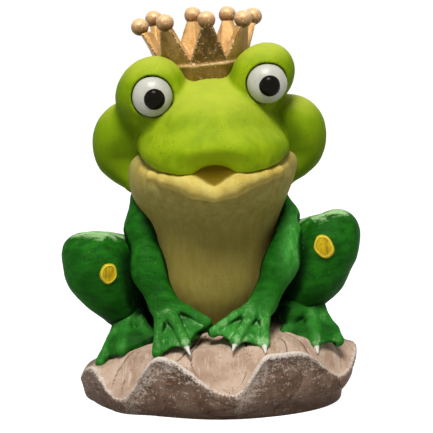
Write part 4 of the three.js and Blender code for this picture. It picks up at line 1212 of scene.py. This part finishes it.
gold_paint, tree = new_paint("gold_paint")
at = on_object(tree)
stroke = strokes(tree, at, (700, 700, 220))
blotches = grain(tree, at, 160, 4)
fine = grain(tree, at, 1300)
pits = effect(tree, pitted_casting, {"Scale": 480})
base = mixed(tree, ranged(tree, blotches, 0.3, 0.7), colour("#b08340"), colour("#daac6e"))
copper = mixed(tree, ranged(tree, blotches, 0.3, 0.7), colour("#9c7146"), colour("#c59a6c"))
base = mixed(tree, mask(tree, "bead"), base, copper)
# Painted shade on the crown's forward faces and under the beads
wash = worked(tree, "MULTIPLY", mask(tree, "wash"), ranged(tree, stroke, 0.25, 0.55, 0.6, 0.95))
base = mixed(tree, wash, base, colour("#4c3604"))
flakes = strokes(tree, at, (800, 800, 1300))
# Rubbed wear on the crown's edges, and a painted highlight on top of each bead
wear_and_highlight = worked(tree, "MULTIPLY_ADD", fine, 0.8, mask(tree, "edge"))
wear_and_highlight = worked(tree, "MULTIPLY_ADD", ranged(tree, flakes, 0.52, 0.64), 0.42, wear_and_highlight)
base = mixed(tree, ranged(tree, wear_and_highlight, 0.66, 1.05), base, colour("#e4c08e"))
base = glazed(tree, base, pits["Pits"], 0.5, "#46300f")
base = glazed(tree, base, pits["Grains"], 0.6, "#e6c79a")
relief = worked(tree, "ADD", stroke, fine)
rough = ranged(tree, blotches, 0.3, 0.7, 0.36, 0.55)
finish_paint(tree, base, rough, relief, 0.12 * MM, Metallic=0.15, Specular_IOR_Level=0.18)

# Painted shade lies thickest on the faces that look forward. The gold is rubbed on the raised band too.
BAND_HEIGHT = 7.5
BAND_HALF = 0.8
crown_clay = in_crown(crown_form)
crown, points, facing = sculpt("crown_cup", crown_clay, 0.45, "crown", "gold_paint", uneven=0.1, margin=0.3)
from_foot = points - CROWN_PLACE
height = from_foot @ crown_axes[:, 2]
from_axis = from_foot - height[:, None] * crown_axes[:, 2]
outer_face = rising((facing * from_axis).sum(axis=1) / np.linalg.norm(from_axis, axis=1), 0.2, 0.6)
front = 0.2 + 0.8 * rising(-facing[:, 1], 0.62, 0.95)
band = np.exp(-(((height - BAND_HEIGHT) / BAND_HALF) ** 2)) * outer_face
mark(
    crown,
    wash=outer_face * front * (0.65 + 0.35 * rising(height, 6, 12)),
    edge=np.maximum(rising(crest(crown_clay, points, facing, 0.9), 0.25, 0.7), 0.6 * band),
    bead=np.zeros(len(points)),
)
crown.data.materials.append(gold_paint)

# The crown balls
# One cast resin bead glued on each point of the crown, which is cut flat for it.
# They have the same copper gold, with a painted highlight on top and painted shade underneath.
BEAD_HALF = np.array([3.4, 3.4, 3.4])
BEAD_OUT = 21.8
for i, (lean, lift) in enumerate(CROWN_BENT):
    turn = i * 2 * math.pi / CROWN_POINTS
    in_axes = [BEAD_OUT * math.sin(turn) + lean, -BEAD_OUT * math.cos(turn), BEAD_RISE + lift]
    place = crown_axes @ in_axes + CROWN_PLACE
    bead = ball(f"crown_bead_{i + 1}", place, BEAD_HALF, f"crown_ball_{i + 1}", "gold_paint", seed=41 + i)
    height = np.array([point.co.z for point in bead.data.vertices]) / MM - place[2]
    mark(
        bead,
        # Painted shade underneath each bead and a painted highlight on its top
        wash=0.85 - 0.85 * rising(height, -2.8, 1),
        edge=0.62 * rising(height, -0.8, 2.4),
        bead=np.ones(len(height)),
    )
    bead.data.materials.append(gold_paint)

# The dowels
# Short pins cut from drawn steel rod, glued into blind holes to hold the castings together.
# They are hidden in the finished frog, so the CAD pins stay as they are and only get their steel.
dowel_steel, tree = new_paint("dowel_steel")
drawn = strokes(tree, on_object(tree), (2500, 2500, 120))
base = mixed(tree, drawn, colour("#8b8f93"), colour("#a9adb0"))
rough = ranged(tree, drawn, 0.3, 0.7, 0.28, 0.42)
finish_paint(tree, base, rough, drawn, 0.03 * MM, Metallic=1.0)
for name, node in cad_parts.items():
    if "dowel" in name:
        node.material_slots[0].material = dowel_steel
